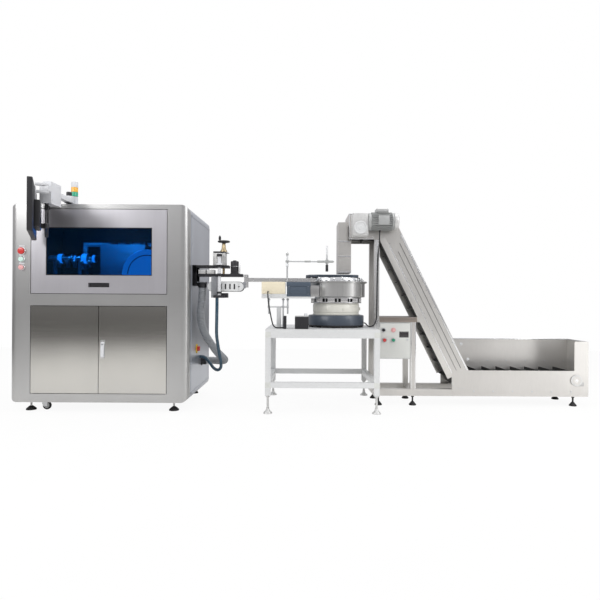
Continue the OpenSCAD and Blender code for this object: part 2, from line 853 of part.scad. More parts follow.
// Swivelling arm: sleeve on the post, beam over the front edge and head box with a clamp knob below
module monitor_arm() color("whitesmoke") {
    difference() {
        union() {
            rod_z([post_x, post_y, cab_h + sleeve_up], sleeve_d, sleeve_h);
            bar([post_x - beam_w / 2, head_y1 - cut, cab_h + sleeve_up], [beam_w, post_y - head_y1 + cut,
                beam_h]);
        }
        rod_z([post_x, post_y, cab_h], post_d + 2 * fit, post_h);
    }
    translate([head_x0, head_y1, head_z0]) rotate([90, 0, 0]) linear_extrude(head_l)
        polygon([[0, 0], [head_w, 0], [head_w, head_h], [head_slant, head_h], [0, head_h - head_slant]]);
    color("#222") rod_z([head_x0 + head_w * 0.22, head_y1 - head_l / 2, head_z0 - knob_h], knob_d, knob_h);
    difference() {
        bar([mon_pin_x - mon_lug / 2, mon_pin_y - mon_lug / 2, head_z0 + head_h / 2],
            [mon_lug, mon_lug + mon_pivot_out, mon_lug]);
        rod_z([mon_pin_x, mon_pin_y, head_z0], mon_pin_d + 2 * fit, head_h);
    }
}
// Monitor slab and rear housing, turned about the arm's pin
module monitor() color("#181818") translate([mon_pin_x, mon_pin_y, 0]) {
    lug_z = head_z0 + head_h / 2;
    rotate([0, 0, mon_angle]) {
        bar([-mon_off - mon_t, -mon_w / 2, mon_z], [mon_t, mon_w, mon_h]);
        bar([-mon_off, -mon_back_w / 2, mon_z + mon_h * 0.15], [mon_back_t, mon_back_w, mon_back_h]);
        for (z = [lug_z - mon_lug / 2 - fork_gap, lug_z + mon_lug + fork_gap])
            bar([-mon_off, -mon_lug / 2, z], [mon_off + mon_lug / 2, mon_lug, mon_lug / 2]);
    }
    rotate([0, 0, mon_angle]) bar([-mon_off + mon_back_t, -gland_d / 4, gland_z], [mon_lug, gland_d / 2,
        gland_h]);
    rod_z([0, 0, gland_z], gland_d, gland_h);
    rod_z([0, 0, lug_z - mon_lug / 2], mon_pin_d, mon_lug * 2);
}
mon_off = mon_back_t + mon_lug;
// Glass disc on its hub and spindle
module turntable() {
    color("lightblue", 0.5) rod_z([disc_x, disc_y, disc_z - disc_t], disc_d, disc_t);
    color("silver") {
        rod_z([disc_x, disc_y, disc_z - disc_t - hub_h], hub_d, hub_h);
        rod_z([disc_x, disc_y, disc_z], hub_d, hub_h / 2);
        rod_z([disc_x, disc_y, deck_z - deck_t - spindle_d], spindle_d,
            disc_z - disc_t - hub_h - deck_z + deck_t + spindle_d);
    }
}
// Camera post with a beam, three cameras looking down through ring lamps, a lamp hood and a round lamp
module camera(p) {
    color("dimgray") bar(p - [cam_w / 2, cam_w / 2, 0], [cam_w, cam_w, cam_h]);
    color("#222") rod_z(p - [0, 0, lens_l], lens_d, lens_l);
}
module cameras() {
    color("silver") for (x = cam_posts) bar([x, cam_y, deck_z], [cam_post, cam_post, cam_beam_z - deck_z]);
    color("silver") bar([cam_posts[0], cam_y, cam_beam_z], [cam_posts[1] + cam_post - cam_posts[0], cam_post,
        cam_post]);
    for (x = cam_xs) camera([x, cam_y - cam_w / 2, cam_z]);
    color("#6cf") for (x = cam_xs) difference() {
        rod_z([x, cam_y - cam_w / 2, cam_z - lens_l], ring_d, ring_t);
        rod_z([x, cam_y - cam_w / 2, cam_z - lens_l - cut], lens_d, ring_t + 2 * cut);
    }
    color("#48c") difference() {
        bar([hood_x, disc_y - hood_d / 2, hood_z], [hood_w, hood_d, hood_h]);
        bar([hood_x + hood_t, disc_y - hood_d / 2 + hood_t, hood_z - cut], [hood_w - 2 * hood_t,
            hood_d - 2 * hood_t, hood_h]);
        for (x = cam_xs) rod_z([x, cam_y - cam_w / 2, hood_z], ring_d + cut, hood_h + cut);
    }
    color("#8cf") rod_y([disc_x + round_in, cab_y + round_back, deck_z + round_d / 2 + cut], round_d, ring_t);
    color("silver") bar([disc_x + round_in - cam_post / 2, cab_y + round_back + ring_t, deck_z], [cam_post,
        ring_t, round_d]);
    color("#6cf") rod_x([cam_posts[0] - lens_l + cam_post, cam_y - lens_d, side_cam_z], lens_d, lens_l * 2);
    color("silver") bar([cam_posts[0], cam_y - lens_d * 1.5, side_cam_z - lens_d], [cam_post, lens_d * 1.5,
        lens_d / 2]);
}
// Infeed: plate on the wall round the inlet, top beam, boss for the guide rod
wx = cab_x1;
front_y = line_y + guide_y;
module infeed_bracket() color("#222") difference() {
    union() {
        bar([wx, line_y - wall_w / 2, wall_z], [wall_t, wall_w, wall_h]);
        bar([wx + wall_t, line_y - arm_w / 2, arm_z], [arm_l, arm_w, arm_h]);
        rod_z([wx + guide_x, front_y, arm_z], guide_boss, arm_h);
        bar([wx + guide_x - guide_boss / 2, front_y, arm_z], [guide_boss, -guide_y, arm_h]);
    }
    bar([wx - cut, line_y - inlet_w / 2, inlet_z], [wall_t + 2 * cut, inlet_w, inlet_z1 - inlet_z]);
    rod_z([wx + screw_x, line_y, arm_z - cut], screw_d + 2 * fit, arm_h + 2 * cut);
    rod_z([wx + guide_x, front_y, arm_z - cut], guide_d, arm_h + 2 * cut);
}
// Housing of the lifting screw with its cap, and the guide rod with its end block
module infeed_column() {
    z = arm_z + arm_h;
    color("lightsteelblue") difference() {
        bar([wx + column_x, line_y - column_d / 2, z], [column_w, column_d, column_h]);
        rod_z([wx + screw_x, line_y, z - cut], screw_d + 2 * fit, column_h + 2 * cut);
    }
    color("#222") difference() {
        bar([wx + column_x + column_w / 2 - cap_w / 2 + cap_h, line_y - column_d / 2, z + column_h], [cap_w,
            column_d, cap_h]);
        rod_z([wx + screw_x, line_y, z], screw_d + 2 * fit, column_h + cap_h + cut);
    }
    color("white") rod_z([wx + guide_x, front_y, guide_z0], guide_d, guide_z1 - guide_z0);
    color("#222") bar([wx + guide_x - guide_boss, front_y - guide_boss / 2, guide_z0 - arm_h],
        [guide_boss * 2, guide_boss * 0.9, arm_h]);
}
// Handwheel with its screw and the pin of its crank grip
module handwheel() {
    color("#222") difference() {
        union() {
            difference() {
                rod_z([wx + screw_x, line_y, wheel_z], handwheel_d, wheel_h);
                rod_z([wx + screw_x, line_y, wheel_z - cut], handwheel_d - 2 * spoke_w, wheel_h + 2 * cut);
            }
            bar([wx + screw_x - handwheel_d / 2 + spoke_w / 2, line_y - spoke_w / 2, wheel_z + wheel_h / 4],
                [handwheel_d - spoke_w, spoke_w, wheel_h / 2]);
            bar([wx + screw_x - spoke_w / 2, line_y - handwheel_d / 2 + spoke_w / 2, wheel_z + wheel_h / 4],
                [spoke_w, handwheel_d - spoke_w, wheel_h / 2]);
            rod_z([wx + screw_x, line_y, wheel_z - wheel_h], handwheel_hub, wheel_h * 2);
        }
    }
    color("tan") rod_z([wx + screw_x, line_y, carriage_z], screw_d, wheel_z - carriage_z);
    color("silver") rod_z(grip_p, grip_pin_d, grip_l + wheel_h / 2);
}
grip_p = [wx + screw_x - grip_pin_r, line_y, wheel_z + wheel_h / 2];
module crank_grip() color("#222") difference() {
    rod_z(grip_p + [0, 0, wheel_h / 2 + fork_gap], grip_d, grip_l - fork_gap - cut);
    rod_z(grip_p, grip_pin_d + 2 * fit, grip_l + wheel_h);
}
// Lengthwise outline with round ends
module stadium(l, h) {
    translate([h / 2, -h / 2]) square([l - h, h]);
    for (x = [h / 2, l - h / 2]) translate([x, 0]) circle(d = h);
}
module along(x, y1, z, w) translate([x, y1, z]) rotate([90, 0, 0]) linear_extrude(w) children();
nose_x0 = wx + nose_x;
roll_r = nose_h / 2 - nose_belt_t - drum_gap;
roll_xs = [nose_x0 + nose_h / 2, nose_x0 + nose_l - nose_h / 2];
belt_w = nose_w - 2 * nose_t - 2 * nose_belt_t;
// Lifting conveyor: side plates and belt, hangers, carriage on the guide rod and screw, blocks and drive motor
module conveyor_body() {
    color("gray") for (s = [-1, 1]) difference() {
        along(nose_x0 + nose_belt_t, line_y + s * (nose_w / 2 - nose_t / 2) + nose_t / 2, nose_z, nose_t)
            stadium(nose_l - 2 * nose_belt_t, nose_h - 2 * nose_belt_t);
        for (x = roll_xs) rod_y([x, line_y - nose_w, nose_z], roller_axle_d + 2 * fit, nose_w * 2);
        for (k = [1:nose_slots]) bar([roll_xs[0] + (roll_xs[1] - roll_xs[0]) * k / (nose_slots + 1) - nose_slot_w / 2,
            line_y - nose_w, nose_z - nose_h / 4], [nose_slot_w, nose_w * 2, nose_h / 2]);
    }
    color("#222") along(nose_x0, line_y + belt_w / 2, nose_z, belt_w) difference() {
        stadium(nose_l, nose_h);
        translate([nose_belt_t, 0]) stadium(nose_l - 2 * nose_belt_t, nose_h - 2 * nose_belt_t);
    }
    color("silver") for (s = [-1, 1]) bar([nose_x0 + hanger_in,
        line_y + s * (nose_w / 2 + hanger_t / 2) - hanger_t / 2,
        low_block_z], [hanger_w, hanger_t, carriage_z - low_block_z]);
    color("#222") difference() {
        union() {
            bar([wx + carriage_x, line_y - carriage_w / 2, carriage_z], [carriage_l, carriage_w, carriage_t]);
            rod_z([wx + guide_x, front_y, carriage_z], guide_boss, carriage_t);
            bar([wx + guide_x - guide_boss / 2, front_y, carriage_z], [guide_boss, -guide_y, carriage_t]);
        }
        rod_z([wx + guide_x, front_y, carriage_z - cut], guide_d + 2 * fit, carriage_t + 2 * cut);
        rod_z([wx + screw_x, line_y, carriage_z - cut], screw_d + 2 * fit, carriage_t + 2 * cut);
    }
    color("white") for (k = [0, 1]) bar([wx + block_x + k * block_pitch, line_y - carriage_w / 2,
        carriage_z + carriage_t],
        [block_w, carriage_w, block_h]);
    color("#222") rod_z([wx + drive_x, line_y, carriage_z + carriage_t], drive_motor_d, drive_motor_h);
    color("dimgray") bar([nose_x0 + hanger_in, line_y - nose_w / 2, low_block_z], [low_block_w, nose_w,
        low_block_h]);
}
module roller(x) color("silver") {
    rod_y([x, line_y - belt_w / 2, nose_z], roll_r * 2, belt_w);
    rod_y([x, line_y - nose_w / 2, nose_z], roller_axle_d, nose_w);
}
module drive_roller() roller(roll_xs[1]);
module idle_roller() roller(roll_xs[0]);
// Ribbed suction hose with its bore
module suction_hose() color("silver") {
    p = smooth([for (q = hose_route) q + [wx, 0, 0]], hose_count);
    m = len(p);
    outer = ringset(p, [for (i = [0:m - 1]) hose_ring_d / 2 + (i % 2 == 1 && i > hose_count && i < m - hose_count ? rib_h : 0)], 8);
    inner = ringset(p, [for (q = p) hose_d / 2], 8);
    skin(concat(outer, [for (i = [m - 1:-hose_count / 2:0]) inner[i]]));
}
function ringset(p, radii, n) = [for (i = [0:len(p) - 1]) let (t = tangent(p, i), u = sides(p, i))
    ring(p[i], u, cross(t, u), radii[i], n)];
// Closed surface through rings that come back to the first one
module skin(rings) {
    n = len(rings[0]);
    m = len(rings);
    polyhedron([for (r = rings, q = r) q], [for (i = [0:m - 1], k = [0:n - 1], h = [0, 1])
        let (a = i * n + k, b = i * n + (k + 1) % n, j = ((i + 1) % m) * n, c = j + k, d = j + (k + 1) % n)
        h == 0 ? [a, c, b] : [b, c, d]]);
}
module tube_bundle() color("#123a63") translate([wx, 0, 0]) cable(tube_route, tube_d, 4);
module monitor_cables() color("#222") for (s = [0, 1])
    translate([cab_x + (s - 0.5) * cable_pitch, cab_y, cab_h]) cable(mon_route, cable_d, 4);
module table_cables() color("#222") translate([wx, 0, 0]) {
    cable(motor_route, cable_d, 4);
    cable(cover_route, cable_d, 4);
}
// Open rail from the conveyor to the bowl, with its end clamp
module feed_rail() color("silver") difference() {
    union() {
        bar([wx + rail_x, line_y - rail_w / 2, rail_z], [rail_l, rail_w, rail_h]);
        bar([wx + rail_x - rail_clamp / 4, line_y - rail_clamp, rail_z + rail_h / 2 - rail_clamp_h * 0.6],
            [rail_clamp, rail_clamp * 2, rail_clamp_h]);
    }
    bar([wx + rail_x - rail_clamp, line_y - rail_w / 2 + rail_t, rail_z + rail_t], [rail_l + 2 * rail_clamp,
        rail_w - 2 * rail_t, rail_clamp_h]);
}
// Linear feeder's cover and the steel box beside the bowl
module feeder_cover() {
    color("wheat") bar([wx + cover_x, line_y - cover_w / 2, plate_z + plate_t + riser_t], [cover_l, cover_w,
        rail_z - plate_z - plate_t - riser_t]);
    color("silver") bar([wx + box_x, line_y - cover_w / 2, plate_z + plate_t], [box_l, box_w, box_h]);
}
// Stand of the rail: stepped plate, rods, cross bar and post on the table, and the probe bar over the bowl
module rail_stand() color("whitesmoke") {
    bar([wx + plate_x, line_y - cover_w / 2, plate_z], [plate_l, cover_w, plate_t]);
    bar([wx + plate_x, line_y - cover_w / 2, plate_z + plate_t], [cover_l, cover_w, riser_t]);
    for (k = [0:2]) rod_z([wx + plate_x + plate_l * rod_shares[k], line_y, k == 1 ? table_h : rod_foot_z],
        rod_d,
        plate_z - (k == 1 ? table_h : rod_foot_z));
    bar([wx + plate_x + plate_l * rod_shares[0], line_y - rod_d / 2, cross_z],
        [plate_l * (rod_shares[2] - rod_shares[0]), rod_d, cross_h]);
    bar([wx + stand_post_x, line_y - stand_post / 2, table_h], [stand_post, stand_post, cross_z - table_h]);
    rod_z([wx + probe_x, line_y - cover_w / 2 + rod_d, rail_z], rod_d, probe_h);
    rod_x([wx + probe_bar_x, line_y - cover_w / 2 + rod_d, probe_bar_z], rod_d, probe_l);
}
bx = wx + bowl_x;
by = cab_y + bowl_in;
// Vibrator under the rail and the bowl's heavy base on rubber feet
module vibrator_bases() {
    color("slategray") bar([wx + vib_x, line_y - vib_w / 2, plate_z + plate_t], [vib_l, vib_w,
        rail_z - plate_z - plate_t]);
    color("#3d4650") rod_z([bx, by, table_h + base_foot_h], base_d, base_h);
    color("#222") for (a = [45:90:315]) rod_z([bx + cos(a) * (base_d / 2 - base_foot_d),
        by + sin(a) * (base_d / 2 - base_foot_d), table_h],
        base_foot_d, base_foot_h);
}
drive_z = table_h + base_foot_h + base_h;
ring_z = drive_z + drive_h;
bowl_z = table_h + bowl_h - bowl_depth;
// Drive housing with the slotted ring that guards the springs, and the centre stud
module drive_housing() {
    color("beige") rod_z([bx, by, drive_z], drive_d, drive_h);
    color("silver") difference() {
        rod_z([bx, by, ring_z], ring_rd, bowl_z - ring_z - ring_gap);
        rod_z([bx, by, ring_z - cut], ring_rd - 2 * ring_wall, bowl_z - ring_z + 2 * cut);
        for (k = [0:slot_count - 1]) translate([bx, by, ring_z + slot_h / 2]) rotate([0, 0,
            k * 360 / slot_count])
            translate([ring_rd / 2 - ring_wall - cut, -slot_w / 2, 0]) cube([ring_wall + 2 * cut, slot_w,
                slot_h]);
    }
    color("silver") rod_z([bx, by, ring_z], spindle_stud_d, bowl_z - ring_z + bowl_t * 2);
}
// Bowl with its floor, ledges, flange and hub, and the oblong cover on posts
module bowl() {
    r = bowl_d / 2;
    color("silver") translate([bx, by, bowl_z]) rotate_extrude() {
        translate([spindle_stud_d / 2 + fit, 0]) square([r - flange_w - spindle_stud_d / 2 - fit, bowl_t]);
        translate([spindle_stud_d / 2 + fit, 0]) square([bowl_foot_d / 2, bowl_t * 3]);
        translate([r - flange_w - bowl_t, 0]) square([bowl_t, bowl_depth]);
        translate([r - flange_w - bowl_t, bowl_depth - flange_t]) square([flange_w + bowl_t, flange_t]);
        for (k = [1:ledge_count]) translate([r - flange_w - ledge_w,
            bowl_depth * k / (ledge_count + 1)]) square([ledge_w - cut, bowl_t]);
    }
    color("#3a4148") translate([bx, by, bowl_z + bowl_depth + cover_up]) {
        intersection() {
            linear_extrude(cover_t) translate([-r, -r * 0.6]) rounded(r * 1.7, r * 1.2, r * 0.3);
            cylinder(r = r, h = cover_t);
        }
    }
    color("silver") for (a = cover_post_angles) rod_z([bx + cos(a) * (r - flange_w / 2),
        by + sin(a) * (r - flange_w / 2), bowl_z + bowl_depth],
        rod_d, cover_up);
}
cx = wx + ctrl_x;
cy = line_y - ctrl_d - ctrl_y_in;
// Vibration controller and the relay block beside it
module controller() color("#1a1a1a") {
    difference() {
        bar([cx, cy, table_h], [ctrl_w, ctrl_d, ctrl_h]);
        rod_z([cx + ctrl_w * 0.8, cy + ctrl_d / 2, table_h + ctrl_h / 2], ctrl_stem_d + 2 * fit, ctrl_h);
    }
    bar([wx + relay_x, cy, table_h], [relay_w, ctrl_d, ctrl_h]);
}
module controller_knob() color("white") {
    rod_z([cx + ctrl_w * 0.8, cy + ctrl_d / 2, table_h + ctrl_h + ctrl_knob_gap], ctrl_knob_d, ctrl_knob_h);
    rod_z([cx + ctrl_w * 0.8, cy + ctrl_d / 2, table_h + ctrl_h * 0.6], ctrl_stem_d,
        ctrl_h * 0.4 + ctrl_knob_h);
}
// Welded table of square tube
module table_frame() color("whitesmoke") {
    top = table_h - table_t;
    for (x = [tab_x, tab_x1 - tube], y = [tab_y, tab_y1 - tube]) bar([x, y, table_leg_z], [tube, tube,
        top - table_leg_z]);
    for (z = [rail_low_z, top - apron_h]) {
        h = z == rail_low_z ? tube : apron_h;
        for (y = [tab_y, tab_y1 - tube]) bar([tab_x + tube, y, z], [table_w - 2 * tube, tube, h]);
        for (x = [tab_x, tab_x1 - tube]) bar([x, tab_y + tube, z], [tube, table_d - 2 * tube, h]);
    }
}
module table_top() color("white") bar([tab_x, tab_y, table_h - table_t], [table_w, table_d, table_t]);
// Elevator outline: head drum, upper bend, lower bend and tail drum in the side view
path = [[wx + head_x, head_z], [wx + bend_x, head_z], [wx + low_bend_x, tail_z], [wx + tail_x, tail_z]];
function normal(i) = let (d = path[i + 1] - path[i]) [-d[1], d[0]] / norm(d);
function edge(i, d) = let (a = normal(max(i - 1, 0)), b = normal(min(i,
    2))) path[i] + d * (a + b) / (1 + a * b);
module track(r) {
    polygon(concat([for (i = [0:3]) edge(i, -r)], [for (i = [3:-1:0]) edge(i, r)]));
    for (p = [path[0], path[3]]) translate(p) circle(r);
}
// Side plate from the head down the incline, its lower corner where the two lower edges meet
module side_plate() {
    n = normal(1);
    low = path[1] - side_low * n;
    z = head_box_z + fork_gap;
    polygon([[path[0][0], z], [low[0] + (low[1] - z) * n[1] / n[0], z], path[2] - side_low * n,
        path[2] + side_high * n,
        edge(1, side_high), edge(0, side_high)]);
}
in_w = elev_w - 2 * elev_plate - 2 * belt_gap;
belt_r = drum_r + belt_t;
module elevator_belt() color("#222") along(0, elev_y1 - elev_plate - belt_gap, 0, in_w) {
    difference() {
        track(belt_r);
        track(drum_r);
    }
    for (i = [0:2], s = [-1, 1]) {
        l = norm(path[i + 1] - path[i]);
        n = floor((l - belt_r) / cleat_pitch);
        translate(path[i]) rotate(atan2(path[i + 1][1] - path[i][1], path[i + 1][0] - path[i][0]))
            for (k = [0:n]) translate([l / 2 + (k - n / 2) * cleat_pitch,
                s > 0 ? belt_r - belt_t / 2 : -belt_r - cleat_h])
                square([cleat_t, cleat_h + belt_t / 2]);
    }
}
module drum(p, y0) color("silver") {
    rod_y([p[0], elev_y + elev_plate + belt_gap, p[1]], 2 * (drum_r - drum_gap), in_w);
    rod_y([p[0], y0, p[1]], shaft_d, elev_y1 + bearing_t - y0);
}
module head_drum() drum(path[0], elev_y - gear_t * 0.8);
module tail_drum() drum(path[3], elev_y - bearing_t);
module bearing(p, ys) for (y = ys) rod_y([p[0], y, p[1]], bearing_d, bearing_t);
// Side plates of the head and the incline, cover plates of the head, chute to the bowl and idle shafts in the bends
module elevator_casing() {
    color("silver") difference() {
        union() {
            for (y = [elev_y + elev_plate, elev_y1]) along(0, y, 0, elev_plate) {
                translate([wx + head_box_x, head_box_z]) square([head_box_w, head_box_h]);
                side_plate();
                translate([wx + brace_x1, brace_z]) square([path[1][0] + brace_reach - wx - brace_x1,
                    post_w]);
            }
            bar([wx + head_box_x, elev_y + elev_plate, head_box_z + head_box_h - elev_plate], [head_box_w,
                elev_w - 2 * elev_plate, elev_plate]);
            bar([wx + head_box_x, elev_y + elev_plate, head_box_z + head_box_h * 0.55], [elev_plate,
                elev_w - 2 * elev_plate, head_box_h * 0.45]);
            bearing(path[0], [elev_y1]);
            for (i = [1, 2]) rod_y([path[i][0], elev_y, path[i][1]], shaft_d, elev_w);
        }
        rod_y([path[0][0], elev_y - cut, path[0][1]], shaft_d + 2 * fit, elev_w + bearing_t + 2 * cut);
    }
    color("silver") difference() {
        union() {
            bar([wx + chute_x, chute_y, chute_z], [chute_w, chute_d, head_box_z - chute_gap - chute_z]);
            bar([wx + chute_x, chute_y, chute_z], [head_box_x - chute_x, chute_d, chute_top_z - chute_z]);
        }
        bar([wx + chute_x + chute_t, chute_y + chute_t, chute_z - cut], [chute_w - 2 * chute_t,
            chute_d - 2 * chute_t, head_box_z - chute_gap - chute_z + 2 * cut]);
        bar([wx + chute_x + chute_t, chute_y + chute_t, head_box_z - chute_gap - chute_t], [chute_w,
            chute_d - 2 * chute_t,
            chute_top_z - head_box_z + chute_gap]);
    }
}
// Hopper: low front wall, tall rear wall, end box and tail bearings
module elevator_hopper() color("silver") {
    x0 = wx + hopper_x;
    x1 = line_l / 2;
    z0 = base_rail_z + base_rail_h / 2;
    z2 = base_rail_z + base_rail_h;
    difference() {
        union() {
            bar([x0, elev_y - elev_plate, z0], [x1 - x0 - end_panel_w, elev_plate, hopper_low - z0]);
            bar([x1 - end_panel_w, elev_y - elev_plate, z0], [end_panel_w, elev_plate, hopper_h - z0]);
            bar([x0, elev_y1, z0], [x1 - x0, elev_plate, hopper_h - z0]);
            bar([x1 - elev_plate, elev_y - elev_plate, z2], [elev_plate, elev_w + 2 * elev_plate,
                hopper_h - z2]);
            bearing(path[3], [elev_y - bearing_t, elev_y1]);
        }
        rod_y([path[3][0], elev_y - bearing_t - cut, path[3][1]], shaft_d + 2 * fit,
            elev_w + 2 * bearing_t + 2 * cut);
    }
}
// Frame: base rails, cross tubes, front posts, second posts and braces
module elevator_frame() color("gainsboro") {
    x0 = wx + front_post_x;
    for (y = [elev_y, elev_y1 - post_w]) {
        bar([x0, y, base_rail_z], [line_l / 2 - x0, post_w, base_rail_h]);
        bar([x0, y, base_rail_z + base_rail_h], [post_w, post_w, head_box_z - base_rail_z - base_rail_h]);
        bar([wx + post2_x, y, base_rail_z + base_rail_h], [post_w, post_w,
            brace_z - base_rail_z - base_rail_h]);
        bar([x0 + post_w, y, brace_z], [wx + brace_x1 - x0 - post_w, post_w, post_w]);
    }
    for (x = [x0, wx + post2_x, line_l / 2 - post_w]) bar([x, elev_y + post_w, base_rail_z], [post_w,
        elev_w - 2 * post_w, post_w]);
}
motor_y = elev_y - fin_d / 2 - motor_gap;
// Worm gearbox on the head with its finned motor and terminal box
module gearmotor() color("#777") {
    difference() {
        bar([path[0][0] - gear_w / 2, elev_y - gear_t, head_z - gear_w / 2], [gear_w, gear_t,
            motor_z - head_z + gear_w]);
        rod_y([path[0][0], elev_y - gear_t * 0.8 - cut, head_z], shaft_d + 2 * fit, gear_t);
    }
    rod_y([path[0][0], elev_y - gear_t - gear_cover_t, head_z], gear_cover_d, gear_cover_t);
    x = path[0][0] + gear_w / 2;
    rod_x([x, motor_y, motor_z], motor_d, motor_l + motor_gap);
    for (k = [1:floor(motor_l / fin_pitch)]) rod_x([x + k * fin_pitch, motor_y, motor_z], fin_d, fin_t);
    bar([x + motor_l / 4, motor_y - term_w / 2, motor_z + motor_d / 2 - cut], [term_w * 1.2, term_w, term_h]);
}
box_x0 = wx + box_front_x;
door_x0 = box_x0 + elev_plate + panel_gap;
panel_w = box_front_w - 2 * (elev_plate + panel_gap);
panel_h = box_front_h - 2 * (elev_plate + panel_gap);
module control_box() color("gainsboro") difference() {
    bar([box_x0, elev_y, box_front_z], [box_front_w, box_depth, box_front_h]);
    bar([box_x0 + elev_plate, elev_y - cut, box_front_z + elev_plate], [box_front_w - 2 * elev_plate,
        box_depth, box_front_h - 2 * elev_plate]);
    rod_z([door_x0 + panel_pin_in, elev_y + panel_pin_in, box_front_z - cut], panel_pin_d + 2 * fit,
        box_front_h + 2 * cut);
}
// Buttons of the control box: distance from its left side, height above its floor, diameter of the head
panel_buttons = [[sel_in, sel_up, small_d], [lamp_in, sel_up, small_d], [estop_in, start_up, small_estop_d],
    [lamp_in, start_up, small_d]];
function face(b) = [box_x0 + b[0], elev_y, box_front_z + b[1]];
module control_box_door() color("whitesmoke") {
    difference() {
        bar([door_x0, elev_y, box_front_z + elev_plate + panel_gap], [panel_w, panel_t, panel_h]);
        bar([door_x0 + elev_plate, elev_y + elev_plate, box_front_z + 2 * elev_plate + panel_gap],
            [panel_w - 2 * elev_plate, panel_t, panel_h - 2 * elev_plate]);
        for (b = panel_buttons) rod_y(face(b) - [0, cut, 0], small_stem_d + 2 * fit, panel_t);
        bar([box_x0 + display_in, elev_y - cut, box_front_z + display_up], [display_w, panel_t, display_h]);
    }
    for (z = [box_front_z, box_front_z + box_front_h - elev_plate - panel_gap - cut])
        rod_z([door_x0 + panel_pin_in, elev_y + panel_pin_in, z], panel_pin_d, elev_plate + panel_gap + cut);
    bar([box_x0 + display_in - elev_plate, elev_y + elev_plate, box_front_z + display_up - elev_plate],
        [display_w + 2 * elev_plate, panel_t - elev_plate, display_h + 2 * elev_plate]);
}
// Head outside the door and stem through it
module press(b) {
    rod_y(face(b) - [0, small_gap + small_head, 0], b[2], small_head);
    rod_y(face(b) - [0, small_gap + cut, 0], small_stem_d, small_gap + panel_t + cut);
}
module selector_switch() color("#222") {
    rod_y(face(panel_buttons[0]) - [0, fork_gap + small_head, 0], small_d, small_head);
    rod_y(face(panel_buttons[0]) - [0, fork_gap + cut, 0], small_stem_d, fork_gap + panel_t + cut);
    bar(face(panel_buttons[0]) - [small_head / 4, small_head * 2, small_d / 2], [small_head / 2,
        small_head * 2, small_d]);
}
module lamp_button() color("crimson") press(panel_buttons[1]);
module elevator_estop() color("red") press(panel_buttons[2]);
module elevator_start() color("green") press(panel_buttons[3]);

front_frame();
cabinet_wrap();
rear_panel();
base_pan();
machine_deck();
levelling_feet();
caster_fork_front();
caster_wheel_front();
caster_fork_rear();
caster_wheel_rear();
upper_door();
door_window();
left_door();
right_door();
door_latch();
estop_button();
start_button();
stop_button();
switch_plates();
tower_light();
arm_base();
monitor_arm();
monitor();
isolator_knob();
turntable();
cameras();
infeed_bracket();
infeed_column();
handwheel();
crank_grip();
conveyor_body();
drive_roller();
idle_roller();
suction_hose();
tube_bundle();
monitor_cables();
table_cables();
feed_rail();
feeder_cover();
rail_stand();
vibrator_bases();
drive_housing();
bowl();
controller();
controller_knob();
table_frame();
table_top();
elevator_frame();
elevator_casing();
elevator_hopper();
elevator_belt();
head_drum();
tail_drum();
gearmotor();
control_box();
control_box_door();
selector_switch();
elevator_estop();
elevator_start();
lamp_button();
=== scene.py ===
from itertools import product
from math import cos, pi, radians, sin

import bmesh
import bpy
from mathutils import Matrix, Vector


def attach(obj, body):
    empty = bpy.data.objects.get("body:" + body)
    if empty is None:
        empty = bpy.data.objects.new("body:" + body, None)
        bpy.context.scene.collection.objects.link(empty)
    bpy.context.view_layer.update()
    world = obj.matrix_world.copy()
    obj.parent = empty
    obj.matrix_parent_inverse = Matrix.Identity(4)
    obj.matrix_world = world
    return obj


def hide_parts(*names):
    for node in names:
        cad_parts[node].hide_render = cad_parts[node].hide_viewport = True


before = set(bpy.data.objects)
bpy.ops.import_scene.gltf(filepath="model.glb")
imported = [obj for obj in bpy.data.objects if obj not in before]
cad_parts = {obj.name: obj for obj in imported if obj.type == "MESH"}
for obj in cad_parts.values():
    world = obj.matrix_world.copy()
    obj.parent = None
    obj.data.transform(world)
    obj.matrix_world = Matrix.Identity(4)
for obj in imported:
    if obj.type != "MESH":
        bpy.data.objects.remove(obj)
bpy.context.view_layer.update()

# Places and sizes are in millimetres in the row frame, as in the CAD, and MM turns them into metres
MM = 0.001
CAB_X, CAB_X1, CAB_Y, CAB_Y1, CAB_H = -2720, -1105, -190, 920, 1874
TABLE_Z = 758
# Turns that bring a shape's own z axis onto the named axis
AXES = {"x": Matrix(((0, 0, 1), (1, 0, 0), (0, 1, 0))).to_4x4(),
    "y": Matrix(((1, 0, 0), (0, 0, 1), (0, -1, 0))).to_4x4(),
    "-y": Matrix(((1, 0, 0), (0, 0, -1), (0, 1, 0))).to_4x4(), "z": Matrix.Identity(4),
    "-z": Matrix(((1, 0, 0), (0, -1, 0), (0, 0, -1))).to_4x4(),}


# ---- materials

def node(tree, kind, **values):
    made = tree.nodes.new(kind)
    for key, value in values.items():
        if key in made.inputs:
            made.inputs[key].default_value = value
        else:
            setattr(made, key, value)
    return made


def wire(source, output, target, socket):
    """Links a node's output to another node's input."""
    source.id_data.links.new(source.outputs[output], target.inputs[socket])


def field(tree, scale, detail=3.0, rough=0.55):
    """A noise pattern in the object's own coordinates, with one scale or a scale for each axis."""
    where = node(tree, "ShaderNodeTexCoord")
    stretch = node(tree, "ShaderNodeMapping")
    stretch.inputs["Scale"].default_value = scale if isinstance(scale, tuple) else (scale,) * 3
    noise = node(tree, "ShaderNodeTexNoise", Scale=1.0, Detail=detail, Roughness=rough)
    wire(where, "Object", stretch, "Vector")
    wire(stretch, "Vector", noise, "Vector")
    return noise.outputs["Fac"]


def spread(tree, source, low, high, start=0.3, end=0.7):
    """Maps a pattern to a range of numbers."""
    made = node(tree, "ShaderNodeMapRange")
    for name, value in (("From Min", start), ("From Max", end), ("To Min", low), ("To Max", high)):
        made.inputs[name].default_value = value
    tree.links.new(source, made.inputs["Value"])
    return made.outputs["Result"]


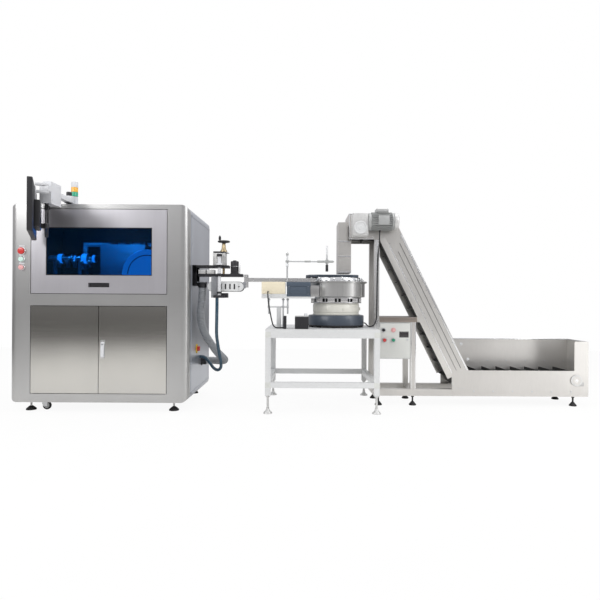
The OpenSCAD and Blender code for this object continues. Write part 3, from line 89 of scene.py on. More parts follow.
def finish(name, color, rough, metal, grain, tone, bump, coat=0.0, glow=0.0, glow_color=None, dirt=0.1,
        rough_spread=0.08):
    """A surface with drifting colour, fine grain in colour and roughness, and a matching bump."""
    made = bpy.data.materials.new(name)
    made.use_nodes = True
    tree = made.node_tree
    tree.nodes.clear()
    out = node(tree, "ShaderNodeOutputMaterial")
    surface = node(tree, "ShaderNodeBsdfPrincipled")
    surface.inputs["Metallic"].default_value = metal
    if coat:
        surface.inputs["Coat Weight"].default_value = coat
        surface.inputs["Coat Roughness"].default_value = 0.12
    if glow:
        surface.inputs["Emission Color"].default_value = (*(glow_color or color), 1)
        surface.inputs["Emission Strength"].default_value = glow
    fine = field(tree, grain, 4.0, 0.6)
    broad = field(tree, (1.7, 1.7, 1.3), 2.0, 0.5)
    ramp = node(tree, "ShaderNodeMix", data_type="RGBA", blend_type="MULTIPLY")
    ramp.inputs["Factor"].default_value = 1.0
    ramp.inputs["A"].default_value = (*color, 1)
    tones = node(tree, "ShaderNodeMix", data_type="RGBA", blend_type="MULTIPLY")
    tones.inputs["Factor"].default_value = 1.0
    for source, weight, socket in ((fine, tone, "A"), (broad, dirt, "B")):
        level = spread(tree, source, 1 - weight, 1 + weight * 0.35)
        grey = node(tree, "ShaderNodeCombineColor")
        for channel in ("Red", "Green", "Blue"):
            tree.links.new(level, grey.inputs[channel])
        wire(grey, "Color", tones, socket)
    wire(tones, "Result", ramp, "B")
    wire(ramp, "Result", surface, "Base Color")
    tree.links.new(spread(tree, fine, rough - rough_spread, rough + rough_spread),
        surface.inputs["Roughness"])
    relief = node(tree, "ShaderNodeBump", Strength=bump, Distance=0.002)
    tree.links.new(fine, relief.inputs["Height"])
    wire(relief, "Normal", surface, "Normal")
    wire(surface, "BSDF", out, "Surface")
    return made


def tinted(name, tint, gloss=0.06, rough=0.03):
    """A thin tinted pane: the tint passes through, and a little is mirrored."""
    made = bpy.data.materials.new(name)
    made.use_nodes = True
    tree = made.node_tree
    tree.nodes.clear()
    out = node(tree, "ShaderNodeOutputMaterial")
    clear = node(tree, "ShaderNodeBsdfTransparent", Color=(*tint, 1))
    shine = node(tree, "ShaderNodeBsdfPrincipled", Roughness=rough)
    shine.inputs["Base Color"].default_value = (*[c * 0.3 for c in tint], 1)
    mix = node(tree, "ShaderNodeMixShader")
    smear = spread(tree, field(tree, (4, 4, 2)), gloss * 0.7, gloss * 1.4)
    tree.links.new(smear, mix.inputs["Fac"])
    wire(clear, "BSDF", mix, 1)
    wire(shine, "BSDF", mix, 2)
    wire(mix, "Shader", out, "Surface")
    return made


BRUSHED = (1.5, 1.5, 90)
STEEL = finish("steel_brushed", (0.5, 0.5, 0.495), 0.3, 0.9, BRUSHED, 0.012, 0.001, rough_spread=0.01)
DOOR_STEEL = finish("steel_doors", (0.55, 0.54, 0.51), 0.13, 0.97, BRUSHED, 0.012, 0.001, rough_spread=0.01)
UPPER_STEEL = finish("steel_upper_door", (0.55, 0.54, 0.57), 0.33, 0.85, (60, 2, 2), 0.02, 0.001,
    rough_spread=0.02)
SIDE_STEEL = finish("steel_sides", (0.5, 0.525, 0.57), 0.32, 0.8, BRUSHED, 0.012, 0.001, rough_spread=0.01)
WARM_STEEL = finish("steel_elevator", (0.66, 0.645, 0.62), 0.34, 0.72, (60, 12, 12), 0.03, 0.004,
    rough_spread=0.03)
BOWL_STEEL = finish("steel_bowl", (0.6, 0.6, 0.59), 0.3, 0.9, (90, 90, 2), 0.03, 0.006, rough_spread=0.03)
BRIGHT = finish("steel_bright", (0.8, 0.81, 0.82), 0.2, 0.95, 30, 0.08, 0.02)
TURNED = finish("steel_turned", (0.72, 0.72, 0.72), 0.27, 0.9, (12, 12, 500), 0.14, 0.05)
ZINC = finish("zinc_plate", (0.66, 0.67, 0.68), 0.34, 0.85, 40, 0.12, 0.04)
ALU = finish("aluminium_cast", (0.7, 0.7, 0.69), 0.45, 0.55, 90, 0.1, 0.12)
BRASS = finish("screw_bronze", (0.55, 0.44, 0.27), 0.35, 0.85, (20, 20, 400), 0.15, 0.08)
BLACK_METAL = finish("paint_black", (0.022, 0.022, 0.026), 0.42, 0.1, 120, 0.25, 0.1)
BLACK_PLASTIC = finish("plastic_black", (0.02, 0.02, 0.023), 0.5, 0.0, 300, 0.25, 0.12)
RUBBER = finish("rubber_black", (0.018, 0.018, 0.019), 0.72, 0.0, 200, 0.25, 0.15)
BELT = finish("belt_black", (0.02, 0.021, 0.021), 0.62, 0.0, 220, 0.3, 0.18)
WHITE_PAINT = finish("paint_white", (0.7, 0.71, 0.71), 0.38, 0.0, 140, 0.04, 0.04, coat=0.1, dirt=0.05)
WHITE_PLASTIC = finish("plastic_white", (0.72, 0.73, 0.75), 0.45, 0.0, 200, 0.04, 0.04, dirt=0.05)
CREAM = finish("paint_cream", (0.76, 0.75, 0.68), 0.36, 0.05, 150, 0.04, 0.06, coat=0.2, dirt=0.06)
BEIGE = finish("cover_beige", (0.84, 0.76, 0.58), 0.48, 0.0, 150, 0.05, 0.05, dirt=0.07)
SLATE = finish("paint_slate", (0.06, 0.078, 0.105), 0.4, 0.15, 260, 0.22, 0.3, coat=0.25)
VIBRATOR = finish("paint_blue_grey", (0.085, 0.115, 0.155), 0.42, 0.15, 260, 0.2, 0.28, coat=0.2)
CONTROL_GREY = finish("paint_pale_grey", (0.68, 0.69, 0.66), 0.42, 0.0, 160, 0.05, 0.06, coat=0.1)
MOTOR_GREY = finish("paint_motor", (0.45, 0.46, 0.455), 0.42, 0.25, 160, 0.1, 0.12)
DECK = finish("deck_grey", (0.3, 0.31, 0.33), 0.45, 0.4, 60, 0.12, 0.06)
LINER = finish("liner_black", (0.01, 0.011, 0.016), 0.6, 0.0, 60, 0.2, 0.05)
RED = finish("cap_red", (0.62, 0.035, 0.03), 0.3, 0.0, 90, 0.08, 0.03, coat=0.5)
PINK = finish("cap_pink", (0.8, 0.42, 0.42), 0.3, 0.0, 90, 0.08, 0.03, coat=0.5)
GREEN = finish("cap_green", (0.01, 0.3, 0.16), 0.3, 0.0, 90, 0.08, 0.03, coat=0.5)
MINT = finish("cap_mint", (0.62, 0.84, 0.76), 0.3, 0.0, 90, 0.06, 0.03, coat=0.5)
YELLOW = finish("plate_yellow", (0.8, 0.55, 0.03), 0.4, 0.0, 120, 0.08, 0.04)
LENS_GREEN = finish("lens_green", (0.03, 0.42, 0.24), 0.22, 0.0, (40, 40, 600), 0.15, 0.2, coat=0.5,
    glow=0.12)
LENS_AMBER = finish("lens_amber", (0.9, 0.46, 0.05), 0.22, 0.0, (40, 40, 600), 0.15, 0.2, coat=0.5, glow=0.15)
HOSE = finish("hose_grey", (0.33, 0.345, 0.365), 0.36, 0.1, 60, 0.12, 0.05, coat=0.2)
TUBE_BLUE = finish("tube_blue", (0.02, 0.065, 0.105), 0.28, 0.0, 60, 0.15, 0.04, coat=0.4)
CABLE = finish("cable_black", (0.018, 0.018, 0.02), 0.48, 0.0, 200, 0.2, 0.08)
LAMP_CYAN = finish("lamp_cyan", (0.3, 0.75, 1.0), 0.4, 0.0, 30, 0.1, 0.02, glow=2.2,
    glow_color=(0.25, 0.7, 1.0))
LAMP_DISC = finish("lamp_disc", (0.45, 0.8, 1.0), 0.4, 0.0, 30, 0.1, 0.02, glow=0.9,
    glow_color=(0.42, 0.8, 1.0))
HOOD = finish("hood_white", (0.4, 0.46, 0.5), 0.5, 0.0, 30, 0.08, 0.03)
SCREEN = finish("screen_dark", (0.008, 0.01, 0.014), 0.12, 0.0, 50, 0.1, 0.01, coat=0.8)
DISPLAY = finish("display_dark", (0.035, 0.03, 0.032), 0.2, 0.0, 400, 0.3, 0.02, coat=0.5)
GLASS = tinted("disc_glass", (0.8, 0.92, 0.97), 0.12)
PANE = tinted("window_blue", (0.07, 0.33, 0.62), 0.05)


# ---- shapes

def put(name, data):
    """A new object in the scene."""
    made = bpy.data.objects.new(name, data)
    bpy.context.scene.collection.objects.link(made)
    return made


def around(x, y, radius, count, start=0.0, step=None):
    """Pairs of numbers for places on a circle, by angles in degrees: a full turn if no step is given."""
    angles = [radians(start + (360 / count if step is None else step) * k) for k in range(count)]
    return [(x + radius * cos(a), y + radius * sin(a)) for a in angles]


class Shape:
    """A mesh put together from bevelled boxes, turned profiles and drawn outlines."""

    def __init__(self):
        self.mesh = bmesh.new()

    def soften(self, verts, width):
        """Bevels all edges at some corners."""
        edges = list(dict.fromkeys(e for v in verts for e in v.link_edges))
        bmesh.ops.bevel(self.mesh, geom=edges, offset=width, segments=2, affect="EDGES", profile=0.6)

    def box(self, low, size, bevel=1.0):
        grown = bmesh.ops.create_cube(self.mesh, size=1.0)
        verts = grown["verts"]
        centre = Vector(low) + Vector(size) / 2
        bmesh.ops.transform(self.mesh, matrix=Matrix.Diagonal((*size, 1)), verts=verts)
        bmesh.ops.translate(self.mesh, vec=centre, verts=verts)
        if bevel:
            self.soften(verts, min(bevel, min(size) * 0.45))
        return self

    def boxes(self, bevel, *rows):
        """Boxes, each a row of its low corner, its size and, if it is not the common one, its own bevel."""
        for row in rows:
            self.box(row[:3], row[3:6], row[6] if len(row) > 6 else bevel)
        return self

    def lathe(self, at, axis, profile, sides=32):
        """Turns (radius, height) points round an axis through a point."""
        move = Matrix.Translation(Vector(at)) @ AXES[axis]
        rings = []
        for radius, height in profile:
            if radius <= 0:
                rings.append([self.mesh.verts.new(move @ Vector((0, 0, height)))])
            else:
                rings.append([self.mesh.verts.new(move @ Vector((radius * cos(a), radius * sin(a), height)))
                    for a in (2 * pi * k / sides for k in range(sides))])
        for low, high in zip(rings, rings[1:]):
            for k in range(sides):
                j = (k + 1) % sides
                corners = [low[k % len(low)], low[j % len(low)], high[j % len(high)], high[k % len(high)]]
                corners = list(dict.fromkeys(corners))
                if len(corners) > 2:
                    self.mesh.faces.new(corners)
        return self

    def solid(self, at, axis, profile, sides=32):
        """Turns a full body: its profile is joined to the axis at both ends."""
        return self.lathe(at, axis, [(0, profile[0][1]), *profile, (0, profile[-1][1])], sides)

    def tube(self, at, axis, profile, sides=32):
        """Turns a hollow body: its profile comes back to the first point."""
        return self.lathe(at, axis, [*profile, profile[0]], sides)

    def rod(self, at, axis, diameter, height, bevel=0.8, sides=32):
        r, b = diameter / 2, min(bevel, height * 0.4, diameter * 0.2)
        return self.solid(at, axis, [(r - b, 0), (r - b * 0.3, b * 0.3), (r, b), (r, height - b),
            (r - b * 0.3, height - b * 0.3), (r - b, height)], sides)

    def ring(self, at, axis, outer, inner, height, bevel=0.8, sides=40):
        ro, ri, b = outer / 2, inner / 2, min(bevel, height * 0.4)
        return self.tube(at, axis, [(ri, 0), (ro - b, 0), (ro, b), (ro, height - b), (ro - b, height),
            (ri, height)], sides)

    def torus(self, at, axis, radius, thick, sides=40, rings=10):
        return self.lathe(at, axis, [(radius + thick * cos(2 * pi * k / rings),
            thick * sin(2 * pi * k / rings)) for k in range(rings + 1)], sides)

    def prism(self, points, plane, start, thick, bevel=0.0):
        """An outline drawn in a plane, xz, yz or xy, and given a thickness along the third axis."""
        place = {"xz": lambda a, b, c: (a, c, b), "yz": lambda a, b, c: (c, a, b), "xy": lambda a, b,
            c: (a, b, c)}[plane]
        ends = [[self.mesh.verts.new(place(a, b, c)) for a, b in points] for c in (start, start + thick)]
        self.mesh.faces.new(ends[0])
        self.mesh.faces.new(list(reversed(ends[1])))
        n = len(points)
        for k in range(n):
            self.mesh.faces.new([ends[0][k], ends[1][k], ends[1][(k + 1) % n], ends[0][(k + 1) % n]])
        if bevel:
            self.soften(ends[0] + ends[1], bevel)
        return self

    def sweep(self, path, radius, sides=12):
        """A round bar along points, with one radius or a radius for each point."""
        points = [Vector(p) for p in path]
        count = len(points)
        rings, side = [], None
        for i, p in enumerate(points):
            t = (points[min(i + 1, count - 1)] - points[max(i - 1, 0)]).normalized()
            if side is None:
                side = t.cross(Vector((0, 1, 0)) if abs(t.z) > 0.9 else Vector((0, 0, 1))).normalized()
            side = (side - side.dot(t) * t).normalized()
            up = t.cross(side)
            r = radius[i] if isinstance(radius, (list, tuple)) else radius
            rings.append([self.mesh.verts.new(p + r * (cos(2 * pi * k / sides) * side
                + sin(2 * pi * k / sides) * up)) for k in range(sides)])
        for low, high in zip(rings, rings[1:]):
            for k in range(sides):
                j = (k + 1) % sides
                self.mesh.faces.new([low[k], low[j], high[j], high[k]])
        self.mesh.faces.new(list(reversed(rings[0])))
        self.mesh.faces.new(rings[-1])
        return self

    def spin(self, axis, degrees, about):
        """Turns all that is in the shape so far."""
        bmesh.ops.rotate(self.mesh, cent=Vector(about), matrix=Matrix.Rotation(radians(degrees), 3, axis),
            verts=self.mesh.verts)
        return self

    def bolt(self, at, axis, across=13, head=5, washer=True):
        """A hexagon head on a washer."""
        if washer:
            self.rod(at, axis, across * 1.6, 1.6, 0.4, 20)
        lift = AXES[axis].to_3x3() @ Vector((0, 0, 1.6 if washer else 0))
        return self.solid(Vector(at) + lift, axis, [(across * 0.577, 0), (across * 0.577, head * 0.85),
            (across * 0.5, head)], 6)

    def screw(self, at, axis, diameter=9, head=4):
        """A domed head with a socket."""
        r = diameter / 2
        return self.solid(at, axis, [(r, 0), (r, head * 0.5), (r * 0.8, head), (r * 0.42, head),
            (r * 0.4, head * 0.45)], 20)

    def make(self, name, material, slot, body="root", *replaces, smooth=35):
        """The piece, in metres, with its finish, the body it rides on and the nodes it replaces; its slot is
        not used.
        """
        bmesh.ops.scale(self.mesh, vec=(MM, MM, MM), verts=self.mesh.verts)
        bmesh.ops.recalc_face_normals(self.mesh, faces=self.mesh.faces)
        data = bpy.data.meshes.new(name)
        self.mesh.to_mesh(data)
        self.mesh.free()
        data.materials.append(material)
        data.shade_smooth()
        data.set_sharp_from_angle(angle=radians(smooth))
        made = put(name, data)
        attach(made, body)
        if replaces:
            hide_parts(*replaces)
        return made


def dress(material, *names):
    """Gives CAD nodes a finish."""
    for name in names:
        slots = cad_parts[name].data.materials
        if len(slots) == 0:
            slots.append(material)
        for k in range(len(slots)):
            slots[k] = material


def spline(points, steps):
    """Points of a smooth curve through the route's points, as part.scad has it."""
    route = [Vector(p) for p in points]
    out = []
    for i in range(len(route) - 1):
        a, b, c, d = route[max(i - 1, 0)], route[i], route[i + 1], route[min(i + 2, len(route) - 1)]
        for k in range(steps):
            t = k / steps
            out.append(0.5 * (2 * b + (c - a) * t + (2 * a - 5 * b + 4 * c - d) * t * t
                + (3 * b - a - 3 * c + d) * t ** 3))
    return out + [route[-1]]


def length(points):
    """Length of the line through some points."""
    return sum((b - a).length for a, b in zip(points, points[1:]))


# ---- camera, light and floor

EYE = (-100, -4790, 1010)
eye = bpy.data.cameras.new("eye")
eye.lens = 30.66
eye.sensor_width = 36
eye.shift_y = 0.0022
camera = put("camera", eye)
camera.location = Vector(EYE) * MM
camera.rotation_euler = (radians(90), radians(-0.33), 0)
bpy.context.scene.camera = camera


def lamp(name, at, aim, size, power):
    """A white softbox that looks at a place."""
    light = bpy.data.lights.new(name, "AREA")
    light.shape = "RECTANGLE"
    light.size, light.size_y = size
    light.energy = power
    made = put(name, light)
    made.location = Vector(at) * MM
    made.rotation_mode = "QUATERNION"
    made.rotation_quaternion = (Vector(aim) - Vector(at)).to_track_quat("-Z", "Y")


lamp("softbox_left", (-4600, -3600, 3600), (-800, 200, 900), (3.0, 2.2), 105)
lamp("softbox_right", (4600, -3000, 3800), (600, 200, 900), (3.0, 2.2), 80)
lamp("strip_right", (3600, -1500, 1100), (-1150, -150, 1000), (1.0, 2.4), 11)
lamp("softbox_top", (0, 200, 4800), (0, 300, 0), (6.0, 2.5), 75)

# The world lights the machine through a soft ramp from floor to sky, and the camera sees it white
world = bpy.data.worlds.new("studio")
bpy.context.scene.world = world
world.use_nodes = True
sky = world.node_tree
sky.nodes.clear()
sky_out = node(sky, "ShaderNodeOutputWorld")
sky_ray = node(sky, "ShaderNodeLightPath")
sky_where = node(sky, "ShaderNodeTexCoord")
sky_split = node(sky, "ShaderNodeSeparateXYZ")
sky_ramp = node(sky, "ShaderNodeValToRGB")
sky_ramp.color_ramp.elements[0].position = 0.0
sky_ramp.color_ramp.elements[0].color = (0.34, 0.33, 0.31, 1)
sky_ramp.color_ramp.elements[1].position = 0.74
sky_ramp.color_ramp.elements[1].color = (0.95, 0.95, 0.97, 1)
for place, shade in ((0.46, (0.13, 0.125, 0.12, 1)), (0.496, (0.16, 0.155, 0.15, 1)),
        (0.505, (0.4, 0.4, 0.41, 1)), (0.53, (0.62, 0.61, 0.63, 1))):
    sky_ramp.color_ramp.elements.new(place).color = shade
sky_map = node(sky, "ShaderNodeMapRange")
sky_map.inputs["From Min"].default_value = -1.0
sky_soft = node(sky, "ShaderNodeBackground", Strength=0.85)
sky_seen = node(sky, "ShaderNodeBackground", Strength=1.0)
sky_seen.inputs["Color"].default_value = (1, 1, 1, 1)
sky_mix = node(sky, "ShaderNodeMixShader")
wire(sky_where, "Generated", sky_split, "Vector")
wire(sky_split, "Z", sky_map, "Value")
wire(sky_map, "Result", sky_ramp, "Fac")
wire(sky_ramp, "Color", sky_soft, "Color")
wire(sky_ray, "Is Camera Ray", sky_mix, "Fac")
wire(sky_soft, "Background", sky_mix, 1)
wire(sky_seen, "Background", sky_mix, 2)
wire(sky_mix, "Shader", sky_out, "Surface")

# The floor takes the machine's shadow, and is close to white for the camera
floor_paint = finish("floor_pale", (0.86, 0.85, 0.83), 0.6, 0.0, 3, 0.02, 0.01, dirt=0.02)
paint = floor_paint.node_tree
seen = node(paint, "ShaderNodeLightPath")
share = node(paint, "ShaderNodeMath", operation="MULTIPLY")
share.inputs[1].default_value = 0.93
plain = node(paint, "ShaderNodeEmission", Strength=1.0)
plain.inputs["Color"].default_value = (1, 1, 1, 1)
blend = node(paint, "ShaderNodeMixShader")
wire(seen, "Is Camera Ray", share, 0)
wire(share, "Value", blend, "Fac")
wire(next(n for n in paint.nodes if n.type == "BSDF_PRINCIPLED"), "BSDF", blend, 1)
wire(plain, "Emission", blend, 2)
wire(blend, "Shader", next(n for n in paint.nodes if n.type == "OUTPUT_MATERIAL"), "Surface")
ground = bpy.data.meshes.new("floor")
ground.from_pydata([(-7, -7.5, 0), (7, -7.5, 0), (7, 6, 0), (-7, 6, 0)], [], [(0, 1, 2, 3)])
ground.materials.append(floor_paint)
floor = put("floor", ground)
bpy.context.scene.view_settings.view_transform = "Standard"


# ---- cords: their routes are those of part.scad, and end where a cord meets a face

HOSE_ROUTE = [(-1027, 60, 1181.6), (-1027, 60, 1110), (-1032, 64, 1020), (-1045, 76, 930), (-1048, 96, 840),
    (-1032, 116, 750), (-1002, 136, 670), (-960, 152, 600), (-915, 172, 530), (-870, 215, 470),
    (-850, 290, 430), (-870, 370, 410), (-930, 430, 400), (-1010, 450, 400), (-1104.2, 450, 400)]
TUBE_ROUTE = [(-875, -20, 1037.6), (-875, -20, 960), (-878, -10, 840), (-884, 24, 700), (-880, 70, 600),
    (-870, 112, 500), (-862, 152, 420), (-870, 200, 360), (-905, 240, 330), (-955, 285, 345),
    (-1010, 325, 405), (-1060, 342, 446), (-1104.4, 342, 450)]
MONITOR_ROUTE = [(-2234, -490, 1821.6), (-2234, -490, 1740), (-2233, -492, 1640), (-2229, -502, 1570),
    (-2219, -524, 1536), (-2208, -550, 1548), (-2204, -560, 1580), (-2204, -560, 1599.2)]
MOTOR_ROUTE = [(660, 108, 1690), (660, 112, 1640), (660, 130, 1580), (658, 160, 1500), (655, 180, 1400),
    (652, 182, 1250), (650, 182, 1100), (648, 182, 950), (644, 180, 850), (625, 182, 790), (590, 196, 768),
    (566, 226, 774), (546, 244, 796), (529.2, 247.9, 802)]
COVER_ROUTE = [(-400, -0.4, 1100), (-400, -30, 1095), (-398, -50, 1060), (-390, -56, 980), (-375, -56, 900),
    (-360, -60, 830), (-345, -64, 785), (-318, -70, 766.5), (-280, -75, 765.5), (-251.6, -76, 765.5)]


def lead(name, route, diameter, material, body="root", shift=(0, 0, 0), steps=5,
        replaces=()):
    """A plain cord from one place on the machine to another, as a curve of one spline."""
    points = [p + Vector(shift) for p in spline(route, steps)]
    curve = bpy.data.curves.new(name, "CURVE")
    curve.dimensions = "3D"
    curve.bevel_depth = diameter / 2 * MM
    curve.bevel_resolution = 5
    curve.use_fill_caps = True
    line = curve.splines.new("POLY")
    line.points.add(len(points) - 1)
    for point, place in zip(line.points, points):
        point.co = (*(place * MM), 1)
    curve.materials.append(material)
    made = put(name, curve)
    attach(made, body)
    if replaces:
        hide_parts(*replaces)
    return made


# The hose: its ribs are drawn with rings at even steps along the route
hose_line = spline(HOSE_ROUTE, 40)
total = length(hose_line)
RIB_PITCH, RINGS_PER_RIB = 16, 4
ring_count = int(total / RIB_PITCH) * RINGS_PER_RIB
step = total / ring_count
even, walked, target = [hose_line[0]], 0.0, step
for a, b in zip(hose_line, hose_line[1:]):
    part = (b - a).length
    while walked + part >= target - 1e-9 and len(even) < ring_count:
        even.append(a + (b - a) * ((target - walked) / part))
        target += step
    walked += part
even.append(hose_line[-1])
profile = [31.5, 36.0, 38.5, 36.0]
hose = Shape().sweep(even, [profile[k % RINGS_PER_RIB] for k in range(len(even))], 28)
hose = hose.make("suction_hose_ribbed", HOSE, "hose_grey", "root", "suction_hose", smooth=75)
collar = Shape().tube((-1027, 60, 1182), "-z", [(30, 0), (46, 0), (46, 6), (40, 10), (40, 44), (36, 48),
    (30, 48)], 40)
collar.tube((-1105, 450, 400), "x", [(30, 0), (52, 0), (52, 5), (42, 9), (42, 46), (37, 50), (30, 50)], 40)
for y, z in around(450, 400, 47, 4, 45):
    collar.screw((-1099, y, z), "x", 7, 3)
collar.make("hose_collars", BLACK_PLASTIC, "black_plastic")

lead("pneumatic_bundle", TUBE_ROUTE, 30, TUBE_BLUE, replaces=("tube_bundle",))
lead("monitor_cable_power", MONITOR_ROUTE, 12, CABLE, "monitor_arm", (-9, 0, 0),
    replaces=("monitor_cables",))
lead("monitor_cable_signal", MONITOR_ROUTE, 12, CABLE, "monitor_arm", (9, 0, 0))
lead("motor_cable", MOTOR_ROUTE, 12, CABLE, replaces=("table_cables",))
lead("feeder_cable", COVER_ROUTE, 12, CABLE)

# ---- finishes of the CAD nodes that keep their shape

dress(STEEL, "front_frame", "rear_panel")
dress(SIDE_STEEL, "cabinet_wrap")
dress(UPPER_STEEL, "upper_door")
dress(DOOR_STEEL, "left_door", "right_door")
dress(DECK, "base_pan", "machine_deck")
dress(PANE, "door_window")
dress(RUBBER, "levelling_feet", "caster_wheel_front", "caster_wheel_rear")
dress(ZINC, "caster_fork_front", "caster_fork_rear", "door_latch", "switch_plates")
dress(RED, "estop_button", "stop_button", "isolator_knob", "elevator_estop", "lamp_button")
dress(GREEN, "start_button", "elevator_start")
dress(WHITE_PLASTIC, "tower_light", "monitor_arm", "controller_knob")
dress(HOOD, "cameras")
dress(BLACK_METAL, "arm_base", "infeed_bracket", "controller", "conveyor_body")
dress(BLACK_PLASTIC, "monitor", "handwheel", "crank_grip", "selector_switch")
dress(GLASS, "turntable")
dress(ALU, "infeed_column")
dress(TURNED, "drive_roller", "idle_roller", "head_drum", "tail_drum", "feed_rail")
dress(BRIGHT, "bowl")
dress(BEIGE, "feeder_cover")
dress(CREAM, "drive_housing")
dress(WHITE_PAINT, "rail_stand", "table_frame", "table_top")
dress(CONTROL_GREY, "control_box_door", "control_box")
dress(SLATE, "vibrator_bases")
dress(WARM_STEEL, "elevator_frame", "elevator_casing", "elevator_hopper")
dress(BELT, "elevator_belt")
dress(MOTOR_GREY, "gearmotor")

# ---- cabinet: seals, trims, grip, buttons, feet

# The window's opening: from and to in x, then in z
WIN = (-2390, -1435, 1232, 1665)


def frame_of(shape, x0, x1, z0, z1, y, depth, width, bevel):
    """Four bars round an opening in the front plane, inside its edges."""
    shape.boxes(bevel, (x0, y, z0, x1 - x0, depth, width), (x0, y, z1 - width, x1 - x0, depth, width),
        (x0, y, z0 + width * 0.6, width, depth, z1 - z0 - width * 1.2),
        (x1 - width, y, z0 + width * 0.6, width, depth, z1 - z0 - width * 1.2))
    return shape


frame_of(Shape(), *WIN, CAB_Y + 1, 5, 7, 1.8).make("window_seal", RUBBER, "rubber_black", "upper_door")
# Painted highlight: white strips along the lower and right edges of the window opening stand in for light
# caught by the stainless edge
edge = Shape().boxes(1, (WIN[0] - 4, CAB_Y + 1.4, WIN[2] - 6, WIN[1] - WIN[0] + 10, 5, 4),
    (WIN[1] + 2, CAB_Y + 1.4, WIN[2] - 4, 4, 5, WIN[3] - WIN[2] + 6))
edge.make("window_edge_highlight", WHITE_PAINT, "stainless", "upper_door")
frame_of(Shape(), -2528, -1297, 1064, 1833, CAB_Y + 12, 6, 5, 1).make("upper_gasket", RUBBER, "rubber_black")
frame_of(Shape(), -2528, -1297, 165, 960, CAB_Y + 12, 6, 5, 1).make("lower_gasket", RUBBER, "rubber_black")

grip = frame_of(Shape(), -2007, -1818, 1126, 1166, CAB_Y - 1.5, 5, 4, 1.4)
grip.box((-2003, CAB_Y + 10, 1130), (181, 4, 32), 0.6)
for k in range(18):
    grip.box((-1999 + k * 10, CAB_Y + 7, 1131), (5, 4, 30), 1.2)
grip.make("flush_grip", BLACK_PLASTIC, "black_plastic", "upper_door")

latch = Shape().box((-1888, CAB_Y - 15, 495), (28, 14, 126), 4)
latch.solid((-1874, CAB_Y - 1, 621), "-y", [(17, 0), (17, 8), (14, 14)], 32)
latch.box((-1883, CAB_Y - 18, 500), (18, 4, 100), 1.6)
latch.solid((-1874, CAB_Y - 15, 621), "-y", [(6, 0), (5, 2.5), (2, 2.5), (2, 1)], 24)
latch.rod((-1874, CAB_Y - 3, 621), "y", 12, 31)
latch.box((-1882, CAB_Y + 22, 613), (16, 4, 64), 1)
latch.make("latch_lever", WHITE_PLASTIC, "zinc", "door_latch", "door_latch")
plate = frame_of(Shape(), -1894, -1854, 486, 650, CAB_Y - 0.8, 0.8, 4, 0.3)
plate.make("latch_plate", ZINC, "zinc", "right_door")

BUTTON_X = CAB_X + 114
BUTTON_PLATES = ((1450, 66), (1375, 52), (1302, 52))


def push_button(name, z, head, material, slot, node_name, cap="flat"):
    """A button on the left column: stem, collar and a head with a soft edge."""
    r = head / 2
    made = Shape().rod((BUTTON_X, CAB_Y - 14, z), "y", 22, 35, 1)
    if cap == "mushroom":
        made.lathe((BUTTON_X, CAB_Y - 12, z), "-y", [(0, 0), (r * 0.55, 0), (r * 0.62, 3), (r * 0.95, 5),
            (r, 7.5), (r * 0.92, 11), (r * 0.62, 13.4), (0, 14)], 40)
    else:
        made.lathe((BUTTON_X, CAB_Y - 12, z), "-y", [(0, 0), (r, 0), (r, 9), (r * 0.93, 11), (r * 0.86, 10.4),
            (r * 0.8, 12.4), (0, 14)], 40)
    return made.make(name, material, slot, node_name, node_name)


push_button("estop_head", 1450, 60, RED, "red_plastic", "estop_button", "mushroom")
push_button("start_head", 1375, 44, MINT, "green_plastic", "start_button")
push_button("stop_head", 1302, 44, PINK, "red_plastic", "stop_button")
plates = Shape()
for z, d in BUTTON_PLATES:
    plates.tube((BUTTON_X, CAB_Y, z), "-y", [(11.2, 0), (d / 2, 0), (d / 2, 2.5), (d / 2 - 3, 6), (13, 6),
        (11.2, 4)], 40)
    for nub_x, nub_z in around(BUTTON_X - 1, z - 1, d / 2 - 1.4, 24):
        plates.box((nub_x, CAB_Y - 4, nub_z), (2, 3, 2), 0)
plates.make("button_collars", BRIGHT, "zinc", "root", "switch_plates")
labels = Shape()
for z, d in BUTTON_PLATES:
    labels.box((BUTTON_X - 25, CAB_Y - 2, z + d / 2 + 4), (50, 2, 13), 0.7)
labels.make("button_label_plates", WHITE_PLASTIC, "white_plastic")
ISOLATOR = (197, 544)
Shape().tube((CAB_X1, *ISOLATOR), "x", [(11.2, 0), (45, 0), (45, 4), (42, 6), (30, 6), (28, 5), (11.2, 5)],
    48).make("isolator_plate", YELLOW, "zinc")
knob = Shape().solid((CAB_X1 + 6.5, *ISOLATOR), "x", [(24, 0), (24, 9), (21, 12)], 40)
knob.box((CAB_X1 + 6.5, 191, 522), (26, 12, 44), 3)
knob.rod((CAB_X1 - 19, *ISOLATOR), "x", 22, 27)
knob.make("isolator_handle", RED, "red_plastic", "isolator_knob", "isolator_knob")

trim = Shape()
for y0, y1, z0, z1 in ((-70, 850, 150, 165), (-70, 850, 1785, 1800), (-70, -55, 150, 1800),
        (835, 850, 150, 1800)):
    trim.box((CAB_X1 - 1, y0, z0), (3.5, y1 - y0, z1 - z0), 1.2)
for y, z in product((-40, 820), (420, 980, 1540)):
    trim.screw((CAB_X1, y, z), "x", 12, 4)
trim.make("side_panel_trim", SIDE_STEEL, "stainless")
seam = Shape().prism([(CAB_Y + 89, 170), (CAB_Y + 91, 170), (CAB_Y + 91, 1800), (CAB_Y + 89, 1800)], "yz",
    CAB_X1 - 1, 1.4)
seam.make("side_seam", RUBBER, "rubber_black")
rear = Shape()
for x in (-2280, -1545):
    rear.boxes(1, (x - 290, CAB_Y1 - 2, 380, 580, 4, 14), (x - 290, CAB_Y1 - 2, 1760, 580, 4, 14))
    for z, dx in product((320, 1080, 1800), (-330, 330)):
        rear.screw((x + dx, CAB_Y1 - 0.5, z), "y", 12, 2.5)
rear.make("rear_panel_trim", STEEL, "stainless")

